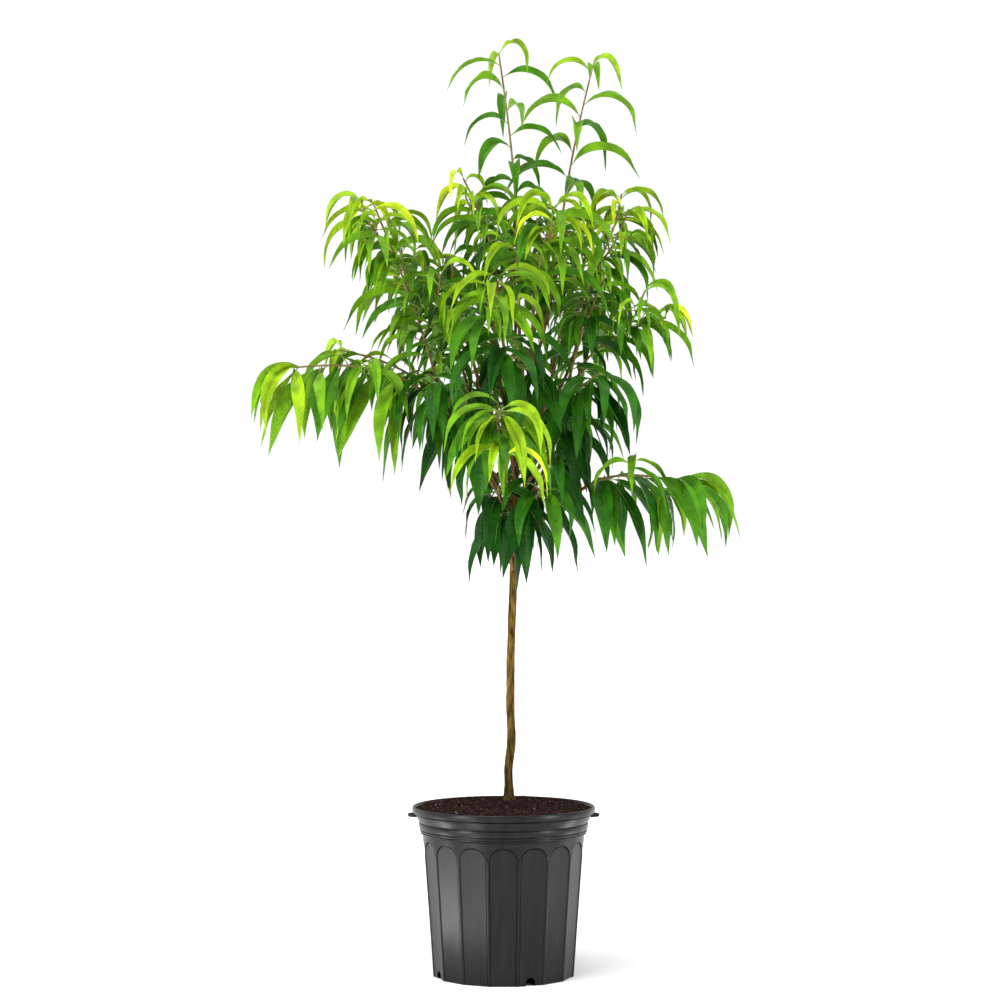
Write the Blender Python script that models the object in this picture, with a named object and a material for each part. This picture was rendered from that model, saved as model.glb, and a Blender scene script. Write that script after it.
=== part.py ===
"""Dwarf peach tree in a fluted nursery pot, about 1.55 m tall, as separate closed solids.

Metres, +Z up. The origin is the middle of the pot's flat underside. +X is to the right of
the tree's front and +Y is away from it.

The crown follows one rule. Each mass of foliage has one stem, which carries on from its
bough. Twigs leave the stem on a spiral, leaves stand on stem and twigs on a spiral, and a
twig or leaf that would touch a limb or another shoot is turned, and then left out.
"""

import math
import random
from collections import namedtuple

import bpy
from mathutils import Vector
from mathutils.bvhtree import BVHTree

# Fit between solids
GAP = 0.0003

# Pot
POT_HEIGHT = 0.280
LIP_RADIUS = 0.1515
LIP_HEIGHT = 0.0110
FOOT_RADIUS = 0.1170
BODY_TOP_RADIUS = 0.1342
BODY_TOP = 0.2335
POT_WALL = 0.0022
LIP_WALL = 0.0034
POT_FLOOR = 0.0030
FLUTES = 16
FLUTE_DEPTH = 0.0030
FLUTE_SPRING = 0.2040
FLUTE_RISE = 0.0205
FLUTE_LEDGE = 0.0032
FLUTE_TURN = math.radians(-90 + 22.2)
SAMPLES_PER_FLUTE = 4
DRAIN_HOLES = 4
DRAIN_RADIUS = 0.0085
DRAIN_HEIGHT = 0.0050
DRAIN_REACH = 0.0120
DRAIN_SIDES = 8
LUG_SIZE = (0.016, 0.012, 0.0090)
LUG_TAPER = (0.35, 0.30)
LUG_HEIGHT = 0.2605
LUG_REACH = 0.0075

# The pot's collar between its body and its lip: (out, up) from the body's top edge
COLLAR = [(0.0050, 0.0065), (0.0063, 0.0145), (0.0051, 0.0160), (0.0070, 0.0180)]
LIP_STEP = (0.0041, 0.0008)
LIP_ROUND = (0.0012, 0.0020)

# Soil
SOIL_EDGE = 0.2750
SOIL_TOP = 0.2890
SOIL_MOUND = [(0.115, SOIL_TOP - 0.0075), (0.075, SOIL_TOP - 0.0030), (0.030, SOIL_TOP)]
SOIL_CLEAR = 0.0004
SOIL_SIDES = 18

# Trunk: its line from the soil to its fork, and its radius at heights
TRUNK_LINE = [
    (0.009, 0.0, SOIL_TOP + GAP),
    (0.009, 0.0, 0.2975),
    (0.0085, 0.0005, 0.3175),
    (0.008, 0.001, 0.345),
    (0.013, 0.002, 0.392),
    (0.011, 0.001, 0.450),
    (0.012, 0.0, 0.530),
    (0.015, -0.001, 0.621),
    (0.017, 0.0, 0.704),
    (0.019, 0.002, 0.787),
    (0.022, 0.001, 0.870),
    (0.027, 0.0, 0.945),
    (0.029, 0.0, 0.985),
]
TRUNK_RADII = [
    (0.289, 0.0120),
    (0.2975, 0.0090),
    (0.3175, 0.0073),
    (0.620, 0.0066),
    (0.720, 0.0060),
    (0.985, 0.0040),
]
TRUNK_SIDES = 8

# Boughs: one that bows down first runs out by a share of its reach
BOUGH_SIDES = 5
BOUGH_STEPS = 3
BOUGH_FOOT_RADIUS = 0.0034
BOUGH_TIP_RADIUS = 0.0026
BOUGH_RUN_OUT = 0.25

# Stems: the share of its reach over which a stem still follows its bough
STEM_STEPS = 4
STEM_FOOT_RADIUS = 0.0027
STEM_TIP_RADIUS = 0.0019
STEM_FOLLOWS = 0.4

# Twigs: the stretch of the stem they stand on, and how much their heading takes from the
# stem's own, from the side and from the light above
TWIG_STEPS = 3
TWIG_SIDES = 3
TWIG_FOOT_RADIUS = 0.0023
TWIG_TURN = math.radians(137.5)
TWIG_STRETCH = (0.12, 0.82)
TWIG_START = (0.35, 0.55, 0.0)
TWIG_END = (0.65, 0.75, 0.45)
TWIG_WANDER = 0.3

# Leaves: their size and how they stand along a shoot
LEAF_LENGTH = 0.128
LEAF_THICKNESS = 0.0015
LEAF_ROOT = 0.0010
LEAF_SPACING = 0.0208
LEAF_TURN = math.radians(144)
LEAF_LEAN = 0.55
LEAF_FREE = 0.14
YOUNG_REACH = 0.050
TUFT_LEAVES = 2
HANGING_TUFT = 3
TUFT_GAP = 0.0015
TUFT_SPACING = 0.0045

# How a leaf arches, in degrees: its slope at the root and at the tip, what hanging, youth
# and standing on the shoot's upper side add to them, and how far chance moves them
RISE, RISE_HANG, RISE_YOUNG, RISE_ABOVE, RISE_CHANCE = 50, -105, 8, 16, 14
FALL, FALL_HANG, FALL_YOUNG, FALL_CHANCE = -66, -20, -4, 14
LEAST_BEND = 15
ROLL = (20, 50)
HEADING_CHANCE = 0.2
HANG_LOST_YOUNG = 0.45

# A leaf's length by chance and by youth, and its width for its length
LENGTHS = (0.88, 1.08)
LENGTH_LOST_YOUNG = 0.12
WIDTH, WIDTH_HANG, WIDTH_YOUNG = 0.230, 0.050, -0.060

# What each further try takes off a leaf's length, its rise and its fall
TRY_LENGTH, TRY_RISE, TRY_FALL = 0.04, 6, 2

# The share of its length over which a leaf arches, before its tip runs straight
LEAF_ARCHED = 0.8

# A blade's sections: (share of its length, share of its width)
ARCHED_BEND = math.radians(72)
ARCHED_BLADE = [(0.36, 1.0), (0.72, 0.66)]
HANGING_BLADE = [(0.46, 1.0)]

# How far a new shoot or leaf stays from the others, and how often it is turned to find room
CLEARANCE = 0.0012
TRIES = 7

# Each mass: where its bough leaves the trunk, where the stem takes over from the bough, the
# stem's tip, how the bough bows, its twigs with their length and first turn, how far its
# leaves hang, their size, and the seed of its rule
Mass = namedtuple("Mass", "name foot joint tip bow twigs reach turn hang leaf seed")
MASS_ROWS = [
    ("leader_left", 0.975, (0.022, 0.02, 1.24), (-0.008, 0.02, 1.53), 0.03, 0, 0, 0, 0.11, 0.94, 9),
    ("leader_right", 0.95, (0.094, 0.03, 1.225), (0.148, 0.04, 1.508), -0.08, 0, 0, 0, 0, 1.12, 495),
    ("upper_left", 0.925, (-0.014, -0.03, 1.165), (-0.066, -0.056, 1.313), -0.06, 1, 0.07, 230, 0.11, 0.95, 239),
    ("centre_front", 0.89, (0.05, -0.07, 1.11), (0.084, -0.135, 1.261), -0.08, 1, 0.08, 310, 0.19, 1.21, 30),
    ("left_crown", 0.8, (-0.112, -0.01, 0.99), (-0.214, -0.001, 1.274), -0.1, 3, 0.11, 330, 0.17, 1.07, 204),
    ("left_inner", 0.86, (-0.06, 0.03, 1.06), (-0.147, 0.051, 1.196), -0.08, 1, 0.08, 60, 0.21, 1, 862),
    ("right_crown", 0.87, (0.135, 0.005, 1.095), (0.198, 0.008, 1.273), -0.1, 3, 0.11, 340, 0.33, 0.93, 746),
    ("right_inner", 0.825, (0.11, -0.04, 0.995), (0.166, -0.059, 1.153), -0.05, 1, 0.07, 300, 0.36, 0.94, 564),
    ("right_mid", 0.79, (0.118, -0.005, 0.98), (0.268, -0.027, 1.088), -0.05, 2, 0.09, 300, 0.15, 1.06, 398),
    ("left_arm", 0.75, (-0.118, -0.03, 0.952), (-0.351, -0.054, 1.004), 0.1, 0, 0, 0, 0.85, 1.3, 624),
    ("left_fork", 0.77, (-0.12, 0.01, 0.962), (-0.274, 0.021, 1.037), 0.02, 0, 0, 0, 0.48, 0.89, 999),
    ("right_arm", 0.7, (0.14, -0.045, 0.812), (0.305, -0.06, 0.812), 0.12, 0, 0, 0, 0.65, 1.34, 710),
    ("front_low", 0.81, (-0.006, -0.075, 0.93), (0.001, -0.17, 0.856), 0.3, 1, 0.08, 0, 0.6, 1.12, 588),
    ("front_left", 0.875, (-0.015, -0.085, 1.05), (-0.006, -0.138, 1.148), -0.08, 2, 0.09, 180, 0.35, 1.14, 817),
    ("core_front", 0.84, (0.032, -0.07, 0.985), (0.014, -0.113, 1.05), -0.08, 1, 0.07, 160, 0.76, 1.2, 992),
    ("left_skirt", 0.735, (-0.055, -0.045, 0.885), (-0.123, -0.075, 0.993), -0.08, 2, 0.08, 300, 0.87, 1.13, 906),
    ("right_skirt", 0.76, (0.085, -0.05, 0.9), (0.133, -0.076, 1.002), -0.08, 2, 0.08, 0, 0.89, 1.08, 135),
    ("low_left", 0.665, (-0.002, -0.04, 0.745), (-0.008, -0.084, 0.811), 0, 0, 0, 0, 0.83, 1.05, 661),
    ("low_front", 0.69, (0.028, -0.055, 0.765), (0.071, -0.103, 0.805), 0, 0, 0, 0, 0.71, 1.25, 203),
    ("low_right", 0.715, (0.05, -0.055, 0.785), (0.084, -0.093, 0.856), 0, 0, 0, 0, 0.91, 1.13, 178),
    ("low_back", 0.678, (0.02, 0.045, 0.76), (0.015, 0.11, 0.82), 0, 1, 0.06, 30, 0.85, 1.05, 11),
    ("back_left", 0.85, (-0.07, 0.085, 1.01), (-0.134, 0.175, 1.191), -0.08, 2, 0.11, 130, 0.11, 1.07, 41),
    ("back_right", 0.84, (0.09, 0.085, 1.04), (0.131, 0.17, 1.191), -0.08, 2, 0.11, 180, 0.2, 1, 317),
    ("back_mid", 0.905, (0.02, 0.08, 1.09), (-0.008, 0.125, 1.277), -0.08, 2, 0.1, 0, 0.11, 1.12, 832),
    ("back_low", 0.78, (-0.02, 0.095, 0.92), (-0.066, 0.251, 1.008), 0.04, 1, 0.1, 60, 0.52, 1.21, 478),
    ("back_skirt", 0.725, (0.075, 0.07, 0.85), (0.132, 0.147, 0.926), -0.05, 1, 0.09, 30, 0.7, 1.02, 13),
]
MASSES = [Mass(*row) for row in MASS_ROWS]

# Finishes: colour, roughness
PLASTIC = ("black_plastic", (0.030, 0.031, 0.033), 0.50)
SOIL = ("potting_mix", (0.045, 0.022, 0.014), 0.95)
BARK = ("bark", (0.190, 0.105, 0.040), 0.80)
GREEN_WOOD = ("green_wood", (0.150, 0.095, 0.050), 0.70)
FOLIAGE = ("peach_leaf", (0.060, 0.210, 0.012), 0.45)

Leaf = namedtuple("Leaf", "root heading rise fall length width roll")
Limb = namedtuple("Limb", "path radii first last")


def clear_scene():
    for obj in list(bpy.data.objects):
        bpy.data.objects.remove(obj, do_unlink=True)


def material(finish):
    name, colour, roughness = finish
    made = bpy.data.materials.get(name)
    if made is None:
        made = bpy.data.materials.new(name)
        made.use_nodes = True
        shader = made.node_tree.nodes["Principled BSDF"]
        shader.inputs["Base Color"].default_value = (*colour, 1)
        shader.inputs["Roughness"].default_value = roughness
        made.diffuse_color = (*colour, 1)
    return made


def mesh_object(name, shape, finish):
    """An object from (points, faces), in the scene."""
    mesh = bpy.data.meshes.new(name)
    mesh.from_pydata(shape[0], [], shape[1])
    mesh.materials.append(material(finish))
    obj = bpy.data.objects.new(name, mesh)
    bpy.context.scene.collection.objects.link(obj)
    return obj


def apply_modifiers(obj):
    graph = bpy.context.evaluated_depsgraph_get()
    made = bpy.data.meshes.new_from_object(obj.evaluated_get(graph))
    obj.modifiers.clear()
    obj.data = made


def remove(objects):
    for obj in objects:
        bpy.data.objects.remove(obj, do_unlink=True)


def cut(obj, cutter):
    """Takes cutter out of obj."""
    modifier = obj.modifiers.new("cut", "BOOLEAN")
    modifier.operation = "DIFFERENCE"
    modifier.object = cutter
    apply_modifiers(obj)


def fuse(obj, others):
    """One union of obj with all the others, which are then removed."""
    group = bpy.data.collections.new(obj.name + "_pieces")
    bpy.context.scene.collection.children.link(group)
    for other in others:
        group.objects.link(other)
    modifier = obj.modifiers.new("fuse", "BOOLEAN")
    modifier.operation = "UNION"
    modifier.operand_type = "COLLECTION"
    modifier.collection = group
    apply_modifiers(obj)
    remove(others)
    bpy.data.collections.remove(group)


# Lines and tubes


def bezier(start, middle, end, steps):
    """Points of a quadratic curve from start to end, drawn towards middle."""
    points = []
    for i in range(steps + 1):
        t = i / steps
        points.append(start * (1 - t) ** 2 + middle * (2 * t * (1 - t)) + end * t**2)
    return points


def value_at(table, x):
    """Straight-line reading of a table of (x, value) pairs."""
    for (x0, v0), (x1, v1) in zip(table, table[1:]):
        if x <= x1:
            return v0 + (v1 - v0) * max(0.0, (x - x0) / (x1 - x0))
    return table[-1][1]


def along(path, share):
    """The point at that share of the path's length, and the path's direction there."""
    left = share * path_length(path)
    for a, b in zip(path, path[1:]):
        length = (b - a).length
        if left <= length:
            return a.lerp(b, left / length), (b - a).normalized()
        left -= length
    return path[-1].copy(), (path[-1] - path[-2]).normalized()


def path_length(path):
    return sum((b - a).length for a, b in zip(path, path[1:]))


def across(direction):
    """A level unit vector square to the direction."""
    side = Vector((-direction.y, direction.x, 0))
    return side.normalized() if side.length > 1e-3 else Vector((0, 1, 0))


def tapered(path, foot, tip, first=None, last=None):
    """A limb along the path whose radius runs evenly from foot to tip."""
    steps = len(path) - 1
    radii = [foot + (tip - foot) * i / steps for i in range(steps + 1)]
    first = first or (path[1] - path[0]).normalized()
    last = last or (path[-1] - path[-2]).normalized()
    return Limb(path, radii, first, last)


def tube(limb, sides, grown=0.0):
    """(points, faces) of the limb as a closed tube, thicker by grown."""
    path = limb.path
    points, faces = [], []
    side = None
    for i, (centre, radius) in enumerate(zip(path, limb.radii)):
        forward = (path[min(i + 1, len(path) - 1)] - path[max(i - 1, 0)]).normalized()
        forward = limb.first if i == 0 else limb.last if i == len(path) - 1 else forward
        side = across(forward) if side is None else side - forward * side.dot(forward)
        side.normalize()
        up = forward.cross(side)
        for k in range(sides):
            angle = 2 * math.pi * k / sides
            spoke = side * math.cos(angle) + up * math.sin(angle)
            points.append(centre + spoke * (radius + grown))
    for i in range(len(path) - 1):
        for k in range(sides):
            a, b = i * sides + k, i * sides + (k + 1) % sides
            faces.append((a, b, b + sides, a + sides))
    last = (len(path) - 1) * sides
    faces.append(tuple(reversed(range(sides))))
    faces.append(tuple(range(last, last + sides)))
    return points, faces


# Leaves


def midrib(leaf, share):
    """The point at that share of the leaf's midrib, and its direction: an arc, then straight."""
    bend = leaf.fall - leaf.rise
    slope = leaf.rise + bend * min(share / LEAF_ARCHED, 1)
    radius = leaf.length * LEAF_ARCHED / bend
    out = radius * (math.sin(slope) - math.sin(leaf.rise))
    up = radius * (math.cos(leaf.rise) - math.cos(slope))
    ahead = Vector((math.cos(leaf.heading), math.sin(leaf.heading), 0))
    direction = ahead * math.cos(slope) + Vector((0, 0, math.sin(slope)))
    straight = leaf.length * max(0.0, share - LEAF_ARCHED)
    return leaf.root + ahead * out + Vector((0, 0, up)) + direction * straight, direction


def blade_frame(leaf, direction):
    """Unit vectors to the blade's left and out of its upper face."""
    side = Vector((-math.sin(leaf.heading), math.cos(leaf.heading), 0))
    face = direction.cross(side)
    c, s = math.cos(leaf.roll), math.sin(leaf.roll)
    return side * c + face * s, face * c - side * s


def blade(leaf, corners, start=0.0, grown=0.0):
    """(points, faces) of a closed blade from the share start to its tip, grown all round.

    The corners of its section are (across, up), in halves of its width and thickness.
    """
    stations = ARCHED_BLADE if leaf.rise - leaf.fall > ARCHED_BEND else HANGING_BLADE
    root_width = LEAF_ROOT + (leaf.width - LEAF_ROOT) * start / stations[0][0]
    sections = [(start, root_width, LEAF_ROOT)]
    sections += [(share, width * leaf.width, LEAF_THICKNESS) for share, width in stations]
    points = []
    for share, width, thickness in sections:
        centre, direction = midrib(leaf, share)
        left, face = blade_frame(leaf, direction)
        points += [
            centre + left * (width / 2 + grown) * x + face * (thickness / 2 + grown) * y
            for x, y in corners
        ]
    end, direction = midrib(leaf, 1.0)
    points.append(end + direction * grown)
    sides = len(corners)
    faces = [tuple(range(sides))]
    for row in range(0, sides * len(stations), sides):
        for k in range(sides):
            a, b = row + k, row + (k + 1) % sides
            faces += [(b, a, b + sides), (b + sides, a, a + sides)]
    last = sides * len(stations)
    faces += [(last + (k + 1) % sides, last + k, last + sides) for k in range(sides)]
    return points, faces


def leaf_solid(leaf):
    """A thin blade with a keel under its midrib."""
    return blade(leaf, [(1, 1), (-1, 1), (0, -1)])


def leaf_room(leaf, start=0.0):
    """The space a leaf needs, from the share start to its tip."""
    return blade(leaf, [(1, 1), (-1, 1), (-1, -1), (1, -1)], start, CLEARANCE)


# The rule that the crown grows by


class Grown:
    """What has grown so far, for asking whether a new shape would touch it."""

    def __init__(self):
        self.things = []

    def add(self, owner, shape):
        self.things.append((owner, box_of(shape), BVHTree.FromPolygons(*shape)))

    def touches(self, shape, wanted):
        """Whether the shape meets anything whose owner is wanted."""
        low, high = box_of(shape)
        surface = BVHTree.FromPolygons(*shape)
        for owner, (other_low, other_high), other in self.things:
            near = all(low[i] < other_high[i] and high[i] > other_low[i] for i in range(3))
            if near and wanted(owner) and surface.overlap(other):
                return True
        return False

    def has_room(self, owner, whole, outer):
        """Whether whole is clear of all other owners, and outer of this owner's own."""
        if self.touches(whole, lambda other: other != owner):
            return False
        return not self.touches(outer, lambda other: other == owner)


def box_of(shape):
    xs, ys, zs = zip(*shape[0])
    return (min(xs), min(ys), min(zs)), (max(xs), max(ys), max(zs))


def trunk_limb():
    path = [Vector(point) for point in TRUNK_LINE]
    level = Vector((0, 0, 1))
    return Limb(path, [value_at(TRUNK_RADII, p.z) for p in path], level, level)


def trunk_point(height):
    path = trunk_limb().path
    for a, b in zip(path, path[1:]):
        if height <= b.z:
            return a.lerp(b, (height - a.z) / (b.z - a.z))
    return path[-1].copy()


def bough_limb(mass):
    """From the trunk's middle to just short of the joint, bowed up or down."""
    foot, joint = trunk_point(mass.foot), Vector(mass.joint)
    reach = joint - foot
    outwards = Vector((reach.x, reach.y, 0)) * (BOUGH_RUN_OUT if mass.bow < 0 else 0.0)
    middle = foot + reach * 0.5 + outwards + Vector((0, 0, mass.bow * reach.length))
    ahead = (joint - middle).normalized()
    path = bezier(foot, middle, joint, BOUGH_STEPS)
    path[-1] = path[-1] - ahead * (GAP / 2)
    return tapered(path, BOUGH_FOOT_RADIUS, BOUGH_TIP_RADIUS, last=ahead)


def stem_limb(mass):
    """The mass's stem, which goes on as its bough ends and turns towards the tip."""
    ahead = bough_limb(mass).last
    joint, tip = Vector(mass.joint), Vector(mass.tip)
    path = bezier(joint, joint + ahead * (tip - joint).length * STEM_FOLLOWS, tip, STEM_STEPS)
    path[0] = path[0] + ahead * (GAP / 2)
    return tapered(path, STEM_FOOT_RADIUS, STEM_TIP_RADIUS, first=ahead)


def twig_limb(mass, stem, i, wander):
    """Twig i, which leaves the stem on a spiral, leans with it and turns up to the light."""
    first, last = TWIG_STRETCH
    foot, ahead = along(stem.path, first + (last - first) * (i + 0.5) / mass.twigs)
    side = across(ahead)
    turn = math.radians(mass.turn) + TWIG_TURN * i + wander
    out = ahead.cross(side) * math.cos(turn) - side * math.sin(turn)
    light = Vector((0, 0, 1 - mass.hang))
    start, end = [
        (ahead * with_stem + out * sideways + light * upwards).normalized() * mass.reach
        for with_stem, sideways, upwards in (TWIG_START, TWIG_END)
    ]
    path = bezier(foot, foot + start / 2, foot + end, TWIG_STEPS)
    return tapered(path, TWIG_FOOT_RADIUS, STEM_TIP_RADIUS)


def grow_twigs(mass, stem, grown, rng):
    twigs = []
    for i in range(mass.twigs):
        for attempt in range(TRIES):
            wander = rng.uniform(-TWIG_WANDER, TWIG_WANDER) * (1 + attempt)
            twig = twig_limb(mass, stem, i, wander)
            outer = tapered(twig.path[1:], TWIG_FOOT_RADIUS, STEM_TIP_RADIUS)
            rooms = [tube(limb, TWIG_SIDES, CLEARANCE) for limb in (twig, outer)]
            if grown.has_room(mass.name, *rooms):
                grown.add(mass.name, tube(twig, TWIG_SIDES))
                twigs.append(twig)
                break
    return twigs


def leaf_at(mass, path, share, turn, rng, attempt):
    """A leaf on the shoot at that share of its length, turned further with each attempt."""
    root, ahead = along(path, share)
    side = across(ahead)
    out = side * math.cos(turn) + ahead.cross(side) * math.sin(turn)
    level = out + ahead * LEAF_LEAN
    youth = max(0.0, 1 - (1 - share) * path_length(path) / YOUNG_REACH)
    hang = mass.hang * (1 - HANG_LOST_YOUNG * youth)
    length = LEAF_LENGTH * mass.leaf * rng.uniform(*LENGTHS) * (1 - TRY_LENGTH * attempt)
    length *= 1 - LENGTH_LOST_YOUNG * youth * (1 - mass.hang)
    rise = RISE + RISE_HANG * hang + RISE_YOUNG * youth + RISE_ABOVE * out.z
    rise += rng.uniform(-RISE_CHANCE, RISE_CHANCE) - TRY_RISE * attempt
    fall = FALL + FALL_HANG * hang + FALL_YOUNG * youth
    fall += rng.uniform(-FALL_CHANCE, FALL_CHANCE) - TRY_FALL * attempt
    heading = math.atan2(level.y, level.x)
    heading += rng.uniform(-HEADING_CHANCE, HEADING_CHANCE) * (1 + attempt)
    roll = math.radians(rng.uniform(*ROLL) * rng.choice((-1, 1)))
    width = length * (WIDTH + WIDTH_HANG * hang + WIDTH_YOUNG * youth)
    rise, fall = math.radians(rise), math.radians(min(fall, rise - LEAST_BEND))
    return Leaf(root, heading, rise, fall, length, width, roll)


def grow_leaves(mass, shoots, grown, rng):
    """Leaves along each shoot and a tuft at its tip, each turned until it has room."""
    leaves = []
    tuft = round(TUFT_LEAVES + HANGING_TUFT * mass.hang)
    for shoot in shoots:
        length = path_length(shoot.path)
        count = int(length / LEAF_SPACING)
        shares = [(i + 0.8) / (count + 0.8) for i in range(count)]
        shares += [1 - (TUFT_GAP + TUFT_SPACING * i) / length for i in range(tuft)]
        start = rng.uniform(0, 2 * math.pi)
        for i, share in enumerate(shares):
            for attempt in range(TRIES):
                leaf = leaf_at(mass, shoot.path, share, start + LEAF_TURN * i, rng, attempt)
                if grown.has_room(mass.name, leaf_room(leaf), leaf_room(leaf, LEAF_FREE)):
                    grown.add(mass.name, leaf_solid(leaf))
                    leaves.append(leaf)
                    break
    return leaves


def grow_crown():
    """For each mass, its shoots and its leaves, clear of the limbs and of each other."""
    grown = Grown()
    grown.add("trunk", tube(trunk_limb(), TRUNK_SIDES))
    for mass in MASSES:
        grown.add("bough", tube(bough_limb(mass), BOUGH_SIDES))
        grown.add(mass.name, tube(stem_limb(mass), TWIG_SIDES))
    shoots, leaves = {}, {}
    for mass in MASSES:
        stem = stem_limb(mass)
        shoots[mass.name] = [stem, *grow_twigs(mass, stem, grown, random.Random(mass.seed))]
    for mass in MASSES:
        leaves[mass.name] = grow_leaves(mass, shoots[mass.name], grown, random.Random(mass.seed))
    return shoots, leaves


# Pot and soil


def flute_arch(u):
    """How high the arched head of a flute stands, 1 in its middle and 0 at its ribs."""
    return math.sqrt(max(0.0, 1 - u * u))


def flute_hollow(u):
    """How deep the flute is across its width, 1 in its middle and 0 at its ribs."""
    return 1 - abs(u) ** 2.6


def body_radius(z):
    return FOOT_RADIUS + (BODY_TOP_RADIUS - FOOT_RADIUS) * z / BODY_TOP


def pot_rows(u):
    """(radius, height) of the pot's skin, from the foot over the lip to the floor inside."""
    hollow = FLUTE_DEPTH * flute_hollow(u)
    arch = FLUTE_SPRING + FLUTE_RISE * flute_arch(u)
    bottom = POT_HEIGHT - LIP_HEIGHT
    fluted = [(body_radius(z) - hollow, z) for z in (0.0, arch)]
    ledge = (body_radius(arch + FLUTE_LEDGE), arch + FLUTE_LEDGE)
    collar = [(BODY_TOP_RADIUS + out, BODY_TOP + up) for out, up in [(0, 0), *COLLAR]]
    lip = [
        (LIP_RADIUS - LIP_STEP[0], bottom - LIP_STEP[1]),
        (LIP_RADIUS, bottom),
        (LIP_RADIUS, POT_HEIGHT - LIP_ROUND[1]),
        (LIP_RADIUS - LIP_ROUND[0], POT_HEIGHT),
    ]
    inner = [(inner_radius(z), z) for z in (POT_HEIGHT, BODY_TOP, POT_FLOOR)]
    return [*fluted, ledge, *collar, *lip, *inner]


def inner_radius(z):
    """The plain inside of the pot, a wall's thickness behind the flutes' hollows and the lip."""
    if z <= BODY_TOP:
        return body_radius(z) - FLUTE_DEPTH - POT_WALL
    low = BODY_TOP_RADIUS - FLUTE_DEPTH - POT_WALL
    return low + (LIP_RADIUS - LIP_WALL - low) * (z - BODY_TOP) / (POT_HEIGHT - BODY_TOP)


def turned(rows_at, sides):
    """(points, faces) of a closed turned shape; rows_at gives the rows for a side's number."""
    points, faces = [], []
    rows = len(rows_at(0))
    for k in range(sides):
        angle = 2 * math.pi * k / sides + FLUTE_TURN
        for radius, z in rows_at(k):
            points.append((radius * math.cos(angle), radius * math.sin(angle), z))
    for k in range(sides):
        a, b = k * rows, (k + 1) % sides * rows
        for row in range(rows - 1):
            faces.append((a + row, b + row, b + row + 1, a + row + 1))
    faces.append(tuple(reversed([k * rows for k in range(sides)])))
    faces.append(tuple(k * rows + rows - 1 for k in range(sides)))
    return points, faces


def make_pot():
    sides = FLUTES * SAMPLES_PER_FLUTE

    def rows_at(k):
        half = SAMPLES_PER_FLUTE / 2
        return pot_rows((k % SAMPLES_PER_FLUTE + half) % SAMPLES_PER_FLUTE / half - 1)

    pot = mesh_object("pot", turned(rows_at, sides), PLASTIC)
    for k in range(DRAIN_HOLES):
        angle = FLUTE_TURN + 2 * math.pi * k / DRAIN_HOLES
        out = Vector((math.cos(angle), math.sin(angle), 0))
        middle = out * FOOT_RADIUS + Vector((0, 0, DRAIN_HEIGHT))
        ends = [middle - out * DRAIN_REACH, middle + out * DRAIN_REACH]
        drill = tapered(ends, DRAIN_RADIUS, DRAIN_RADIUS)
        cutter = mesh_object("drain_drill", tube(drill, DRAIN_SIDES), PLASTIC)
        cut(pot, cutter)
        remove([cutter])
    fuse(pot, [make_lug(side) for side in (-1, 1)])
    return pot


def make_lug(side):
    """One of the two small lugs that stand out under the lip, narrower at its outer end."""
    depth, width, height = LUG_SIZE
    middle = Vector((side * (LIP_RADIUS + LUG_REACH - depth / 2), 0, LUG_HEIGHT + height / 2))
    points = []
    for x in (-1, 1):
        narrow, low = LUG_TAPER if x == side else (0, 0)
        for y in (-width / 2, width / 2):
            for z in (-height / 2, height / 2):
                points.append(middle + Vector((x * depth / 2, y * (1 - narrow), z * (1 - low))))
    faces = [(0, 1, 3, 2), (4, 6, 7, 5), (0, 4, 5, 1), (2, 3, 7, 6), (0, 2, 6, 4), (1, 5, 7, 3)]
    return mesh_object("lug", (points, faces), PLASTIC)


def make_soil():
    """Potting mix that fills the pot to just under its lip and rises to the trunk."""
    heights = (POT_FLOOR + SOIL_CLEAR, BODY_TOP, SOIL_EDGE)
    rows = [(inner_radius(z) - SOIL_CLEAR, z) for z in heights]
    return mesh_object("soil", turned(lambda k: rows + SOIL_MOUND, SOIL_SIDES), SOIL)


# Trunk, boughs and foliage


def make_trunk():
    return mesh_object("trunk", tube(trunk_limb(), TRUNK_SIDES), BARK)


def trunk_room():
    """The trunk with a gap's clearance all round it, to cut the feet of the boughs to."""
    trunk = trunk_limb()
    trunk.path[-1] += Vector((0, 0, GAP))
    return mesh_object("trunk_room", tube(trunk, TRUNK_SIDES, GAP), BARK)


def make_bough(mass, room):
    bough = mesh_object("bough_" + mass.name, tube(bough_limb(mass), BOUGH_SIDES), GREEN_WOOD)
    cut(bough, room)
    return bough


def make_foliage(mass, shoots, leaves):
    stem, *twigs = [mesh_object("shoot", tube(shoot, TWIG_SIDES), FOLIAGE) for shoot in shoots]
    stem.name = "foliage_" + mass.name
    blades = [mesh_object("leaf", leaf_solid(leaf), FOLIAGE) for leaf in leaves]
    fuse(stem, twigs + blades)
    return stem


def main():
    clear_scene()
    make_pot()
    make_soil()
    make_trunk()
    room = trunk_room()
    for mass in MASSES:
        make_bough(mass, room)
    remove([room])
    shoots, leaves = grow_crown()
    for mass in MASSES:
        make_foliage(mass, shoots[mass.name], leaves[mass.name])


main()
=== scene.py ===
"""Looks of the potted dwarf peach tree: bark, shoots, leaves, pot and potting mix.

Metres, +Z up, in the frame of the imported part, whose origin is the middle of the pot's
underside. The crown grows by the rule of the part's source, with the same seeds, and then
puts out spurs and further leaves between the first ones.
"""

from collections import namedtuple
from math import atan2, cos, hypot, pi, radians, sin, sqrt, tau
from random import Random

import bpy
from mathutils import Matrix, Vector, noise
from mathutils.bvhtree import BVHTree


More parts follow.
